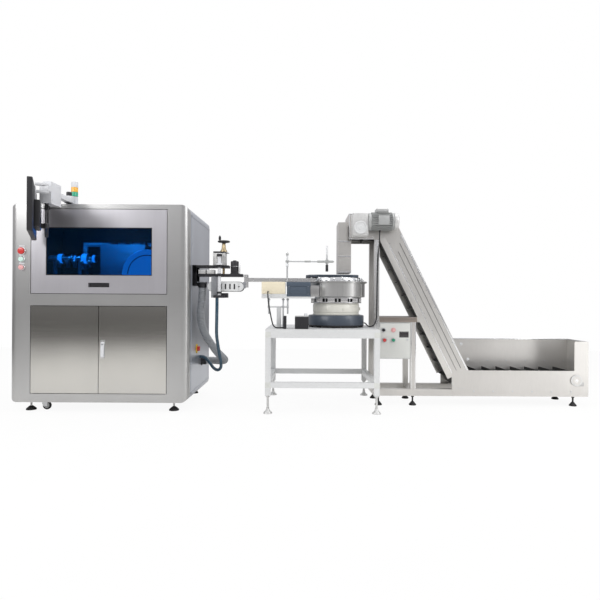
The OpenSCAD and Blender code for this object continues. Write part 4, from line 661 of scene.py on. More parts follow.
CABINET_FEET = ((-2570, -80), (-1255, -80), (-2570, 810), (-1255, 810))
feet = Shape()
for x, y in CABINET_FEET:
    feet.solid((x, y, 0), "z", [(45, 0), (45, 10), (42, 13), (30, 24), (17, 34), (15, 36)], 36)
feet.make("cabinet_foot_pads", RUBBER, "rubber_black", "root", "levelling_feet")
stems = Shape()
for x, y in CABINET_FEET:
    stems.rod((x, y, 34), "z", 16, 54, 0.5)
    for k in range(9):
        stems.torus((x, y, 40 + k * 3.6), "z", 8, 0.9, 24, 6)
    stems.solid((x, y, 76), "z", [(15, 0), (15, 12)], 6)
for x, y in product((-385, 595), (-185, 735)):
    stems.solid((x, y, 0), "z", [(40, 0), (40, 5), (36, 12), (20, 26), (12, 44), (15, 52)], 36)
    stems.rod((x, y, 50), "z", 20, 110, 0.5)
    for k in range(16):
        stems.torus((x, y, 58 + k * 5), "z", 10, 1.1, 24, 6)
    stems.solid((x, y, 146), "z", [(17, 0), (17, 14)], 6)
stems.make("foot_stems", ALU, "zinc")
pads = Shape()
for x, y in product((674, 1009, 2582), (225, 575)):
    pads.solid((x, y, 0), "z", [(35, 0), (35, 9), (31, 14), (17, 30), (15, 36)], 32)
    pads.rod((x, y, 34), "z", 16, 59, 0.5)
    pads.solid((x, y, 80), "z", [(15, 0), (15, 13)], 6)
pads.make("elevator_feet", RUBBER, "rubber_black")
CASTER_X, WHEEL_Z = -2424, 40
for body, y in (("caster_wheel_front", -80), ("caster_wheel_rear", 810)):
    Shape().tube((CASTER_X, y - 11, WHEEL_Z), "y", [(4.1, 1), (26, 1), (29, 0), (34, 0.5), (38, 4), (38, 18),
        (34, 21.5), (29, 22), (26, 21), (4.1, 21)], 44).make(body + "_tyre", RUBBER, "rubber_black", body,
        body)
    hub = Shape()
    for side in (0, 20.4):
        hub.ring((CASTER_X, y - 11 + side, WHEEL_Z), "y", 50, 9, 1.6, 0.4)
    hub.make(body + "_hub", MOTOR_GREY, "rubber_black", body)

# ---- signal tower

TX, TY = -2223, 10
tower = Shape().solid((TX, TY, CAB_H), "z", [(37, 0), (37, 6), (34, 10), (33, 20), (31, 21), (31, 104)], 48)
tower.solid((TX, TY, CAB_H + 192), "z", [(31, 0), (31, 44), (28, 51), (20, 54)], 48)
tower.make("tower_body", WHITE_PLASTIC, "white_plastic", "root", "tower_light")
for name, low, high, material in (("tower_green", 105, 147, LENS_GREEN),
        ("tower_amber", 147, 192, LENS_AMBER)):
    lens = Shape()
    profile = [(0, low)]
    for k in range(12):
        z = low + 2 + (high - low - 6) * k / 12
        profile += [(30.6, z), (31, z + (high - low - 6) / 24)]
    profile += [(30.6, high - 3), (29.4, high - 3), (29.4, high), (0, high)]
    lens.lathe((TX, TY, CAB_H), "z", profile, 48)
    lens.make(name, material, "white_plastic")

# ---- monitor and its arm

PIN = (-2204, -560)
TURN = 25


def local(x, y, z):
    """A place beside the monitor's pin, before the monitor is turned about it."""
    return (PIN[0] + x, PIN[1] + y, z)


slab = Shape().box(local(-125, -360, 1534), (40, 720, 410), 7)
slab.box(local(-85, -150, 1595.5), (45, 300, 215), 9)
slab.box(local(-40, -10, 1600), (40, 20, 40), 3)
lugs = Shape()
for z in (1891.5, 1952.5):
    lugs.box(local(-85, -20, z), (105, 40, 20), 4)
lugs.box(local(-85, -24, 1830), (6, 48, 113), 2)
lugs.spin("Z", TURN, (*PIN, 0))
lugs.make("monitor_lugs", WHITE_PLASTIC, "black_plastic", "monitor")
for k in range(9):
    slab.box(local(-41, -110, 1600 + k * 12), (2.5, 90, 4), 0.8)
    slab.box(local(-41, 40, 1720 + k * 12), (2.5, 80, 4), 0.8)
slab.spin("Z", TURN, (*PIN, 0))
slab.solid((*PIN, 1600), "z", [(20, 0), (23, 3), (23, 34), (19, 40)], 32)
slab.rod((*PIN, 1892), "z", 16, 80)
slab.make("monitor_case", BLACK_PLASTIC, "black_plastic", "monitor", "monitor")
screen = Shape().box(local(-125.6, -346, 1556), (2, 692, 374), 0.6)
screen.spin("Z", TURN, (*PIN, 0))
screen.make("monitor_screen", SCREEN, "black_plastic", "monitor")
vesa = Shape().box(local(-40.5, -50, 1690), (3, 100, 100), 1)
for dy, dz in product((-38, 38), (-38, 38)):
    vesa.screw(local(-37.5, dy, 1740 + dz), "x", 9, 3)
vesa.spin("Z", TURN, (*PIN, 0))
vesa.make("monitor_plate", ZINC, "zinc", "monitor")

AX, AY = -2234, -80
arm = Shape().tube((AX, AY, CAB_H + 30), "z", [(24.1, 0), (40, 0), (42, 3), (42, 57), (39, 60), (24.1, 60)],
    48)
arm.box((AX - 30, -342, CAB_H + 30), (60, 262, 44), 5)
arm.prism([(-2284, 1822), (-2184, 1822), (-2184, 2002), (-2250, 2002), (-2284, 1968)], "xz", -520, 180, 5)
arm.boxes(2, (-2190, -518, 1814, 9, 176, 12), (-2224, -580, 1912, 40, 66, 40, 5))
for y, z in product((-500, -362), (1850, 1975)):
    arm.screw((-2184, y, z), "x", 9, 3)
arm.make("arm_housing", WHITE_PLASTIC, "white_plastic", "monitor_arm", "monitor_arm")
turn = Shape().solid((-2262, -430, 1822), "-z", [(9, 0), (9, 6), (18, 8), (20, 12), (20, 40), (17, 45)], 36)
for x, y in around(-2262, -430, 19, 12):
    turn.rod((x, y, 1780), "z", 5, 28, 1, 10)
turn.make("arm_knob", BLACK_PLASTIC, "black_plastic", "monitor_arm")
post = Shape().solid((AX, AY, CAB_H), "z", [(50, 0), (50, 7), (47, 10), (24, 10), (24, 126), (21, 130)], 48)
for x, y in around(AX, AY, 37, 4, 45):
    post.bolt((x, y, CAB_H + 10), "z", 10, 5)
post.make("arm_post", BLACK_METAL, "black_metal", "root", "arm_base")

# ---- inspection chamber: black liner, lamps, cameras, hood and disc hub

liner = Shape().boxes(1, (-2712, 826, 1024, 1599, 6, 780), (-2714, -60, 1024, 5, 886, 780),
    (-1116, 150, 1024, 5, 676, 780), (-2708, -60, 1798, 1592, 886, 5), (-2708, -70, 1022, 1592, 4, 60))
liner.make("chamber_liner", LINER, "black_metal")
posts = Shape()
for x in (-2330, -1410):
    posts.box((x, 460, 1020), (40, 40, 540), 2)
posts.boxes(2, (-2330, 460, 1560, 960, 40, 40), (-1540, -40, 1020, 40, 20, 460),
    (-2330, 385, 1320, 40, 75, 25))
posts.make("camera_posts", DECK, "white_plastic", "root", "cameras")
CAMERA_X = (-1996.7, -1850, -1703.3)
eyes = Shape()
for x in CAMERA_X:
    eyes.box((x - 30, 400, 1490), (60, 60, 110), 4)
    eyes.lathe((x, 430, 1490), "-z", [(0, 0), (26, 0), (26, 20), (23, 22), (23, 70), (25, 72), (25, 118),
        (20, 120), (0, 112)], 36)
eyes.make("camera_bodies", BLACK_METAL, "white_plastic")
rings = Shape()
for x in CAMERA_X:
    rings.ring((x, 430, 1371), "z", 130, 52, 18, 2)
rings.make("ring_lamps", LAMP_CYAN, "white_plastic")
hood = Shape()
for low, size in (((-2070, 250, 1270), (440, 4, 290)), ((-2070, 546, 1270), (440, 4, 290)),
        ((-2070, 254, 1270), (4, 292, 290)), ((-1634, 254, 1270), (4, 292, 290))):
    hood.box(low, size, 0.8)
hood.box((-2080, 246, 1262), (460, 8, 10), 1)
hood.make("lamp_hood", HOOD, "white_plastic")
ROUND_X, ROUND_Z = -1520, 1252
disc = Shape().solid((ROUND_X, -60, ROUND_Z), "y", [(226, 0), (230, 3), (230, 17), (226, 20)], 72)
disc.make("round_lamp", LAMP_DISC, "white_plastic")
Shape().sweep([(x, -61, z) for x, z in around(ROUND_X, ROUND_Z, 176, 33, 20, 5)], 4,
    8).make("round_lamp_lead", CABLE, "black_plastic")
OPTICS = (400, 1430)
optics = Shape()
for low, high, d in ((-2640, -2560, 66), (-2552, -2500, 92), (-2496, -2430, 54), (-2424, -2400, 80),
        (-2392, -2320, 60), (-2312, -2250, 96), (-2244, -2214, 50), (-2206, -2170, 72)):
    optics.rod((low, *OPTICS), "x", d, high - low, 4)
optics.rod((-2650, *OPTICS), "x", 44, 480, 1)
for low in (-2560, -2470, -2400, -2320, -2240):
    optics.rod((low, 370, 1395), "x", 46, 34, 3)
    optics.box((low, 385, 1340), (24, 40, 60), 3)
optics.make("side_optics", ZINC, "white_plastic")
glows = Shape()
for low, high, d in ((-2548, -2504, 94), (-2308, -2254, 98), (-2204, -2176, 74), (-2390, -2372, 62)):
    glows.ring((low, *OPTICS), "x", d, d - 6, high - low, 2)
glows.make("side_lamps", LAMP_CYAN, "white_plastic")
stand = Shape()
for x in (-2600, -2350):
    stand.box((x, 385, 1025), (30, 30, 390), 2)
stand.make("optics_stand", DECK, "deck_steel")
DISC = (-1850, 400)
hub = Shape().solid((*DISC, 1156), "z", [(60, 0), (65, 4), (65, 24)], 48)
hub.solid((*DISC, 1190), "z", [(65, 0), (65, 8), (60, 12), (22, 12), (20, 18)], 48)
for x, y in around(*DISC, 48, 6):
    hub.bolt((x, y, 1202), "z", 10, 5)
hub.make("disc_hub", TURNED, "disc_glass", "turntable")
for name, at, power in (("chamber_lamp_a", (-2400, 150, 1700), 7), ("chamber_lamp_b", (-1750, 0, 1640), 9)):
    light = bpy.data.lights.new(name, "POINT")
    light.energy = power
    light.color = (0.7, 0.85, 1.0)
    light.shadow_soft_size = 0.08
    put(name, light).location = Vector(at) * MM

# ---- infeed: column, conveyor nose, handwheel, motor and guide

SCREW, GUIDE, DRIVE = (-826, 60), (-854, -20), (-721, 60)
NOSE_X, NOSE_Z = (-928, -676), 1145

arm = Shape().box((-1105, -15, 1262), (36, 150, 82), 2)
for y in (-15, 115):
    arm.box((-1105, y, 1150), (36, 20, 112), 2)
arm.box((-1105, 5, 1150), (36, 110, 26), 2)
for y, z in ((-8, 1160), (128, 1160), (-8, 1330), (128, 1330)):
    arm.bolt((-1069, y, z), "x", 9, 5)
for x in (-1020, -960, -890):
    arm.screw((x, 5, 1332), "-y", 9, 4)
arm.make("infeed_wall_bolts", BLACK_METAL, "black_metal")
column = Shape()
for x in (-921, -895, -869, -843, -816):
    column.box((x, 15.4, 1345), (10, 5, 116), 3)
column.boxes(2, (-919, 19, 1344, 114, 30, 118), (-919, 71, 1344, 114, 34, 118),
    (-919, 48, 1344, 80, 24, 118, 1), (-921, 102, 1344, 118, 3, 118, 1))
column.make("column_ribs", ALU, "machined_steel", "root", "infeed_column")
cap = Shape().prism([(-918, 1462), (-778, 1462), (-778, 1464), (-842, 1476), (-918, 1476)], "xz", 15, 32, 1.2)
cap.prism([(-918, 1462), (-778, 1462), (-778, 1464), (-842, 1476), (-918, 1476)], "xz", 73, 32, 1.2)
cap.boxes(1, (-918, 46, 1462, 78, 28, 14), (-906, -46, 1038, 104, 46.8, 24, 2))
cap.make("column_cap", BLACK_METAL, "black_metal")
cone = Shape().tube((*SCREW, 1476), "z", [(12.6, 0), (34, 0), (34, 6), (22, 24), (17, 62), (17, 72),
    (12.6, 72)], 40)
cone.make("column_cone", BRASS, "machined_steel")
guide = Shape().rod((*GUIDE, 1061), "z", 30, 395, 2)
guide.ring((*GUIDE, 1345), "z", 54, 30.6, 18, 2)
guide.make("guide_rod", WHITE_PLASTIC, "white_plastic")
clamp = Shape().ring((*GUIDE, 1424), "z", 50, 30.4, 24, 3)
clamp.ring((*GUIDE, 1078), "z", 46, 30.4, 18, 3)
clamp.make("guide_clamps", BLACK_PLASTIC, "black_metal")

turn = Shape().torus((*SCREW, 1572), "z", 49.5, 8.4, 56, 14)
for dx, dy in ((1, 0), (0, 1)):
    turn.box((-826 - (52 * dx or 6), 60 - (52 * dy or 6), 1567), (104 * dx or 12, 104 * dy or 12, 9), 3)
turn.lathe((*SCREW, 1552), "z", [(12, 0), (17, 0), (19, 3), (19, 26), (16, 31), (8, 32), (0, 32)], 36)
turn.solid((-864, 60, 1578), "z", [(8, 0), (8, 6), (4.8, 6), (4.8, 52)], 24)
turn.make("handwheel_rim", BLACK_PLASTIC, "black_plastic", "handwheel", "handwheel")
screw = Shape()
thread = []
for k in range(86):
    z = 1246 + k * 3.6
    thread += [(10.6, z), (12, z + 1.2), (12, z + 1.9), (10.6, z + 3.0)]
screw.lathe((*SCREW, 0), "z", [(0, 1238), (10.6, 1238)] + thread + [(10.6, 1560), (0, 1560)], 24)
screw.make("lift_screw", BRASS, "black_plastic", "handwheel")
grip = Shape().tube((-864, 60, 1587), "z", [(5.2, 0), (9, 0), (11, 4), (12, 16), (11, 30), (8, 36),
    (5.2, 37)], 28)
grip.make("crank_grip_body", BLACK_PLASTIC, "black_plastic", "crank_grip", "crank_grip")


def plate_with_slots(shape, y, thick):
    """One side of the conveyor nose: bars between the slots, and round ends."""
    for z, high in ((1101, 19), (1170, 19)):
        shape.box((-926, y, z), (248, thick, high), 1)
    edges = [-926] + [-928 + 252 * k / 6 + d for k in range(1, 6) for d in (-7, 7)] + [-678]
    for k in range(0, len(edges), 2):
        shape.box((edges[k], y, 1119), (edges[k + 1] - edges[k], thick, 52), 1)
    for x, a in zip(NOSE_X, (90, -90)):
        rim = around(x, NOSE_Z, 44, 19, a, 10) + around(x, NOSE_Z, 6.4, 10, a + 180, -20)
        shape.prism(rim, "xz", y, thick, 0)


nose = Shape()
plate_with_slots(nose, 16, 7)
plate_with_slots(nose, 97, 7)
nose.make("nose_plates", WHITE_PAINT, "machined_steel", "conveyor", "conveyor_body")
detail = Shape()
for x in NOSE_X:
    for y, axis in ((15.8, "-y"), (103, "y")):
        detail.bolt((x, y, NOSE_Z), axis, 12, 1, False)
for x in (-886, -844, -802, -760, -718):
    detail.box((x - 8, 24, 1118), (16, 3, 54), 0.6)
detail.make("nose_slots", BLACK_PLASTIC, "black_plastic", "conveyor")
band = Shape()
outer, inner = [around(NOSE_X[0], NOSE_Z, r, 17, 90, 11.25) + around(NOSE_X[1], NOSE_Z, r, 17, -90, 11.25)
    for r in (47, 44)]
n = len(outer)
rows = [[band.mesh.verts.new((a, y, b)) for a, b in line] for line in (outer, inner) for y in (26, 94)]
for k in range(n):
    j = (k + 1) % n
    for one, two in ((0, 1), (3, 2), (2, 0), (1, 3)):
        band.mesh.faces.new([rows[one][k], rows[one][j], rows[two][j], rows[two][k]])
band.make("nose_belt", BELT, "belt_black", "conveyor")
hang = Shape()
for y in (5.2, 105):
    hang.box((-935, y, 1040), (60, 9.8, 198), 1.5)
for z in (1062, 1145, 1222):
    hang.screw((-905, 5.4, z), "-y", 9, 3.5)
hang.box((-640, 23, 1128), (28, 3, 60), 1)
hang.make("nose_hangers", DECK, "machined_steel", "conveyor")
carriage = Shape().boxes(2.5, (-1061, 10, 1238, 212, 100, 26), (-803, 10, 1238, 162, 100, 26),
    (-850, 74, 1238, 48, 36, 26, 1), (-850, 10, 1238, 48, 36, 26, 1))
carriage.ring((*GUIDE, 1238), "z", 52, 31, 26, 2)
for dx in (-26, 16):
    carriage.box((-854 + dx, -8, 1238), (10, 20, 26), 1)
carriage.box((-935, 16, 1040), (150, 88, 44), 3)
for x in (-1045, -1000, -950, -780, -665):
    carriage.screw((x, 10, 1251), "-y", 9, 4)
for x in (-915, -870, -825):
    carriage.screw((x, 16, 1062), "-y", 9, 4)
carriage.make("carriage_beam", BLACK_METAL, "black_metal", "conveyor")
blocks = Shape()
for x in (-1059, -979):
    blocks.boxes(4, (x, 12, 1264, 70, 96, 39), (x + 10, 11, 1272, 50, 3, 22, 1))
blocks.make("carriage_blocks", ALU, "zinc", "conveyor")
drive = Shape().lathe((*DRIVE, 1264), "z", [(0, 0), (42, 0), (42, 10), (36, 12), (36, 70), (38, 72),
    (38, 116), (34, 122), (16, 124), (16, 130), (0, 131)], 40)
for x, y in around(DRIVE[0] - 1.2, DRIVE[1] - 1.2, 37, 14):
    drive.box((x, y, 1278), (2.4, 2.4, 54), 0.5)
drive.make("drive_motor", BLACK_PLASTIC, "black_plastic", "conveyor")
flange = Shape().ring((*DRIVE, 1333), "z", 80, 60, 4, 0.8)
flange.rod((-669, 30, 1264), "z", 7, 108, 1, 16)
flange.box((-1056, 20, 1303), (12, 40, 1), 0.2)
flange.make("drive_flange", BRIGHT, "zinc", "conveyor")

# ---- feed rail, cover, rods and probe

outlet = Shape().boxes(2, (-627, 27, 1140, 33, 14, 118), (-627, 79, 1140, 33, 14, 118),
    (-627, 27, 1140, 33, 66, 52))
for z in (1152, 1180, 1244):
    outlet.screw((-610, 27, z), "-y", 9, 2)
outlet.make("rail_clamp_plates", WHITE_PAINT, "machined_steel")
bits = Shape()
for k in range(9):
    x = -570 + k * 74
    if not -222 - 12 < x < -222 + 12:
        bits.box((x, 39.4, 1221), (22, 5, 7.8), 0.8)
for k in range(30):
    bits.screw((-600 + k * 21, 40.4, 1206), "-y", 6, 0.6)
bits.make("rail_spacers", BRIGHT, "machined_steel")

case = Shape().boxes(5, (-461, 0, 1079, 222, 120, 113), (-455, 0.6, 1104, 210, 1, 2, 0.3))
case.make("feeder_cover_shell", BEIGE, "cream_paint", "root", "feeder_cover")
case = Shape().box((1, 0, 1054), (80, 60, 105), 2)
for x, z in product((12, 70), (1064, 1149)):
    case.screw((x, 0.4, z), "-y", 6, 0.4)
case.make("feeder_steel_box", STEEL, "zinc")
bed = Shape().boxes(2, (-461, 0, 1038, 500, 120, 16), (-461, 4, 1054, 222, 112, 25),
    (-395, 53, 948, 178.5, 14, 16))
for x in (-440, -360, -280, -120, 20):
    bed.screw((x, 0.5, 1046), "-y", 7, 0.4)
bed.boxes(3, (-320, 39, TABLE_Z, 42, 42, 190), (-336, 24, TABLE_Z, 74, 72, 8, 2))
bed.make("rail_bed", WHITE_PAINT, "white_paint", "root", "rail_stand")
rods = Shape()
for x, z in ((-395, 890), (-259, TABLE_Z), (-216.5, 890)):
    rods.rod((x, 60, z), "z", 14, 1038 - z, 1, 20)
    rods.solid((x, 60, 1020), "z", [(13, 0), (13, 12)], 6)
    rods.ring((x, 60, 944), "z", 22, 14, 24, 1)
rods.rod((-222, 14, 1193), "z", 14, 277, 2, 20)
rods.rod((-239, 14, 1385), "x", 14, 458, 2, 20)
rods.tube((-222, 14, 1330), "z", [(7.1, 0), (11, 4), (11, 34), (7.1, 40)], 24)
rods.rod((152, 33, 1300), "z", 16, 234, 2, 20)
rods.make("rail_rods", ZINC, "zinc")
probe = Shape().ring((-222, 14, 1374), "z", 34, 14.2, 22, 3)
probe.ring((-222, 14, 1193), "z", 30, 14.2, 14, 2)
probe.tube((-222, 14, 1440), "z", [(7.1, 0), (12, 0), (12, 20), (7.1, 20)], 24)
probe.rod((60, 14, 1385), "x", 22, 150, 2, 24)
probe.rod((-60, 14, 1385), "x", 18, 60, 2, 24)
probe.box((136, 2, 1369), (32, 42, 32), 3)
probe.make("probe_clamps", MOTOR_GREY, "black_metal")
Shape().rod((152, 33, 1292), "z", 26, 66, 3, 24).make("probe_sensor", BLACK_METAL, "black_metal")

vib = Shape().boxes(3, (-228, 1, 1150, 227, 118, 42), (-228, 1, 1054, 227, 118, 22),
    (-224, 5, 1076, 219, 110, 74, 5))
for x in (-210, -32):
    vib.box((x, 0.4, 1070), (14, 4, 86), 1)
vib.make("feeder_vibrator", VIBRATOR, "slate_paint", "root", "vibrator_bases")
bolts = Shape()
for x, z in product((-203, -25), (1078, 1148)):
    bolts.bolt((x, 0.6, z), "-y", 6, 0.2, False)
bolts.make("vibrator_bolts", ZINC, "zinc")

BX, BY = 259, 310
base = Shape().solid((BX, BY, 770), "z", [(258, 0), (268, 4), (275, 12), (275, 98), (270, 106), (236, 112)],
    96)
base.make("bowl_base", SLATE, "slate_paint")
rim = Shape().lathe((BX, BY, 770), "z", [(250, 0.5), (274.5, 0.5), (274.9, 5), (274.9, 24), (274.5, 26),
    (268, 26)], 96)
for x, y in around(BX, BY, 247, 8):
    rim.solid((x, y, TABLE_Z), "z", [(22, 0), (24, 3), (20, 12)], 24)
rim.make("bowl_feet", RUBBER, "rubber_black")
drum = Shape().solid((BX, BY, 882), "z", [(229, 0), (229, 10), (225, 12), (225, 24), (229, 26), (229, 96),
    (225, 104), (222, 113)], 96)
for x, y in around(BX - 12, BY - 2, 228, 6, -150, 36):
    drum.box((x, y, 924), (24, 4, 30), 1.5)
drum.make("drive_drum", CREAM, "cream_paint", "root", "drive_housing")
top = Shape().tube((BX, BY, 995), "z", [(222, 0), (250, 0), (250, 10), (240, 12), (222, 12)], 96)
top.tube((BX, BY, 1038), "z", [(222, 0), (250, 0), (250, 13), (222, 13)], 96)
for k in range(12):
    a = radians(15 + 30 * k)
    for d in (-0.11, -0.055, 0, 0.055, 0.11):
        top.box((BX + 242 * cos(a + d) - 8, BY + 242 * sin(a + d) - 8, 1005), (16, 16, 36), 2)
top.make("drive_ring", TURNED, "machined_steel")
Shape().solid((BX, BY, 996), "z", [(221, 0), (221, 50)], 64).make("drive_ring_core", LINER, "black_metal")
fins = Shape()
for x, y in around(BX, BY, 232, 12):
    fins.rod((x, y, 1006), "z", 12, 34, 1, 16)
fins.make("ring_springs", ZINC, "zinc")

pan = Shape().tube((BX, BY, 1052), "z", [(9, 0), (277, 0), (284, 6), (284, 141), (306, 141), (306, 150),
    (280, 150), (278, 146), (278, 104), (252, 101), (250, 66), (226, 63), (224, 30), (200, 26), (60, 10),
    (9, 12)], 120)
pan.tube((BX, BY, 1052), "z", [(284, 132), (292, 134), (292, 140), (284, 141)], 96)
for x, y in around(BX - 4, BY - 4, 287, 8, 10):
    pan.box((x, y, 1062), (8, 8, 120), 1.5)
pan.make("bowl_pan", BOWL_STEEL, "machined_steel", "bowl", "bowl")
spiral = Shape()
coil = [(x, y, 1070 + 118 * k / 160) for k, (x, y) in enumerate(around(BX, BY, 275, 161, 0, 4.5))]
spiral.sweep(coil, 3.4, 8)
spiral.make("bowl_track", TURNED, "machined_steel", "bowl")
RIM_Z = 1202
bolts = Shape()
for x, y in around(BX, BY, 296, 34):
    bolts.screw((x, y, RIM_Z), "z", 12, 7)
bolts.make("bowl_rim_bolts", WHITE_PLASTIC, "white_plastic", "bowl")
lid = Shape()
outline = [(-302, -60), (-268, -150), (-190, -176), (150, -176), (205, -140), (213, -90), (213, 90),
    (205, 140), (150, 176), (-190, 176), (-268, 150), (-302, 60)]
lid.prism([(BX + a, BY + b) for a, b in outline], "xy", 1242, 27.5, 5)
lid.box((BX - 140, BY - 60, 1262), (220, 120, 7), 2)
lid.make("bowl_lid", SLATE, "slate_paint", "bowl")
skirt = Shape().tube((BX, BY, RIM_Z), "z", [(240, 0), (262, 0), (262, 30), (256, 39), (240, 39)], 96)
for k, (x, y) in enumerate(around(BX, BY, 272, 22)):
    skirt.rod((x, y, RIM_Z), "z", 16, 22 + 10 * (k % 3), 2, 18)
skirt.make("bowl_top_ring", BRIGHT, "machined_steel", "bowl")
pins = Shape()
for x, y in around(BX, BY, 295, 3, 148, 32):
    pins.rod((x, y, RIM_Z), "z", 14, 40, 1, 20)
    pins.bolt((x, y, RIM_Z), "z", 14, 6, False)
pins.make("lid_posts", ZINC, "zinc", "bowl")

control = Shape().box((-146, -150, TABLE_Z), (125, 150, 117), 6)
for k in range(7):
    control.box((-138, -150.4, 776 + k * 5), (60, 1, 2), 0.3)
control.box((-251, -150, TABLE_Z), (26, 150, 117), 4)
control.make("controller_case", BLACK_METAL, "black_metal", "root", "controller")
Shape().box((-144, -150.2, 868), (121, 149, 7.6), 2).make("controller_top", MOTOR_GREY, "motor_grey")
dial = Shape().solid((-46, -75, 876.6), "z", [(17, 0), (17, 4), (15, 6), (14, 20), (11, 23.8)], 36)
dial.rod((-46, -75, 826), "z", 8, 52, 0.5, 20)
dial.make("controller_dial", WHITE_PLASTIC, "white_plastic", "controller_knob", "controller_knob")

bits = Shape().box((-410, -210.4, 757.6), (1030, 1, 1.8), 0.2)
for x, z in product((-385, 595), (257, 709)):
    bits.box((x - 25.4, -210.4, z - 25), (50.8, 1, 50), 0.4)
bits.make("table_seams", CONTROL_GREY, "white_paint")

# ---- elevator: casing seams, lips, gearmotor, hopper bolts and control box

# The belt's middle line in x and z: head drum, both ends of the incline, tail drum
PATH = [(470, 1712), (741, 1712), (1466, 252), (2600, 252)]
SLOPE = Vector((PATH[2][0] - PATH[1][0], 0, PATH[2][1] - PATH[1][1])).normalized()
RISE = Vector((-SLOPE.z, 0, SLOPE.x))
if RISE.z < 0:
    RISE = -RISE
RUN = (Vector((PATH[2][0], 0, PATH[2][1])) - Vector((PATH[1][0], 0, PATH[1][1]))).length


def along(distance, up, y):
    """A place on the incline: so far down it from the head, so far above its middle line."""
    return Vector((PATH[1][0], y, PATH[1][1])) + SLOPE * distance + RISE * up


def strip(shape, d0, d1, up0, up1, y0, y1, bevel=0.8):
    """A bar that runs along the incline."""
    corners = [along(d0, up0, 0), along(d1, up0, 0), along(d1, up1, 0), along(d0, up1, 0)]
    return shape.prism([(c.x, c.z) for c in corners], "xz", y0, y1 - y0, bevel)


lips = Shape()
strip(lips, 96, RUN - 6, 100, 112, 197.5, 206, 1)
strip(lips, 96, RUN - 6, 100, 112, 594, 602.5, 1)
strip(lips, 150, RUN - 60, -45, -38, 197.5, 201, 0.8)
for d in range(130, int(RUN) - 40, 190):
    lips.screw(along(d, 92, 197.6), "-y", 10, 0.5)
    lips.screw(along(d, -30, 197.6), "-y", 10, 0.5)
lips.make("incline_lips", BRIGHT, "elevator_steel")
skirts = Shape()
for y in (199.0, 599.6):
    strip(skirts, 53, RUN - 60, -104, -45, y, y + 1.4, 0.3)
skirts.make("incline_skirts", WARM_STEEL, "elevator_steel")
grooves = Shape()
strip(grooves, 170, RUN - 100, 56, 60, 197.3, 199, 0.5)
strip(grooves, 240, RUN - 60, 8, 11, 197.3, 199, 0.4)
grooves.make("incline_grooves", BLACK_PLASTIC, "elevator_steel")
head = Shape().boxes(1, (373.5, 197.3, 1860, 243, 5, 8.5), (373.5, 197.3, 1618.5, 243, 5, 9),
    (373.5, 197.3, 1627, 9, 5, 234))
for x, z in ((384, 1850), (384, 1640), (604, 1850), (604, 1640)):
    head.screw((x, 197.6, z), "-y", 11, 0.5)
head.make("head_box_trim", BRIGHT, "elevator_steel")
chute = Shape()
for z in (1300, 1452, 1600):
    chute.box((275.6, 269.6, z), (128, 2.5, 12), 0.8)
chute.prism([(276.2, 1293.5), (402.8, 1293.5), (402.8, 1300), (276.2, 1300)], "xz", 269.4, 262, 0.6)
chute.make("chute_bands", BRIGHT, "elevator_steel")
Shape().box((281, 275, 1300), (3, 250, 300), 0.4).make("chute_lining", DECK, "elevator_steel")

GY, GZ = 50, PATH[0][1]
MOTOR_Y, MOTOR_Z = 108, 1778
gear = Shape().boxes(5, (397, GY + 2, 1639, 148, 147, 212, 9), (395, GY + 14, 1637, 152, 20, 216),
    (395, GY + 118, 1637, 152, 26, 216))
for x, z in product((404, 538), (1648, 1842)):
    gear.bolt((x, GY + 2.4, z), "-y", 9, 0.4, False)
for k in range(5):
    gear.box((412 + k * 26, GY + 34, 1847), (8, 84, 5.6), 1.5)
gear.make("gearbox_case", ALU, "motor_grey", "root", "gearmotor")
cover = Shape().solid((470, GY + 2, GZ), "-y", [(62, 0), (62, 8), (58, 13), (50, 13), (48, 9), (22, 9),
    (20, 13)], 56)
for x, z in around(470, GZ, 55, 8, 22.5):
    cover.screw((x, GY - 10.6, z), "-y", 7, 2.6)
cover.make("gearbox_cover", WHITE_PAINT, "motor_grey")
shaft = Shape().rod((470, 142, GZ), "y", 60, 52, 3)
shaft.box((430, 178, 1650), (80, 18, 30), 3)
for x in (440, 500):
    shaft.bolt((x, 178, 1665), "-y", 13, 6)
shaft.make("gearbox_mount", BLACK_METAL, "black_metal")
motor = Shape().solid((545, MOTOR_Y, MOTOR_Z), "x", [(64, 0), (80, 8), (80, 26), (70, 30), (70, 226),
    (80, 230), (80, 246), (70, 250)], 56)
for k in range(28):
    a = 2 * pi * k / 28
    c, s = cos(a), sin(a)
    motor.prism([(MOTOR_Y + r * c - w * s, MOTOR_Z + r * s + w * c) for r,
        w in ((66, 2), (87, 1.2), (87, -1.2), (66, -2))], "yz", 577, 196, 0)
motor.make("motor_body", MOTOR_GREY, "motor_grey")
fan = Shape().lathe((793, MOTOR_Y, MOTOR_Z), "x", [(80, 0), (84, 2), (84, 30), (80, 38), (66, 44), (30, 45.6),
    (0, 45.6)], 56)
for y, z in around(MOTOR_Y - 3, MOTOR_Z - 3, 46, 10):
    fan.box((837, y, z), (1.8, 6, 6), 0)
fan.make("motor_fan_cover", ALU, "motor_grey")
terminal = Shape().boxes(6, (617, 58, 1856, 120, 100, 36), (622, 54, 1866, 110, 6, 22, 2))
for x, y in product((626, 728), (66, 150)):
    terminal.screw((x, y, 1891.4), "z", 8, 4)
terminal.boxes(8, (640, 22, 1740, 96, 60, 80), (636, 20, 1736, 104, 8, 88, 3))
terminal.make("terminal_box", MOTOR_GREY, "motor_grey")
gland = Shape().solid((660, 108, 1702), "-z", [(13, 0), (13, 6), (10, 8), (10, 18), (6.5, 20), (6, 14)], 24)
gland.make("motor_gland", BLACK_PLASTIC, "black_plastic")

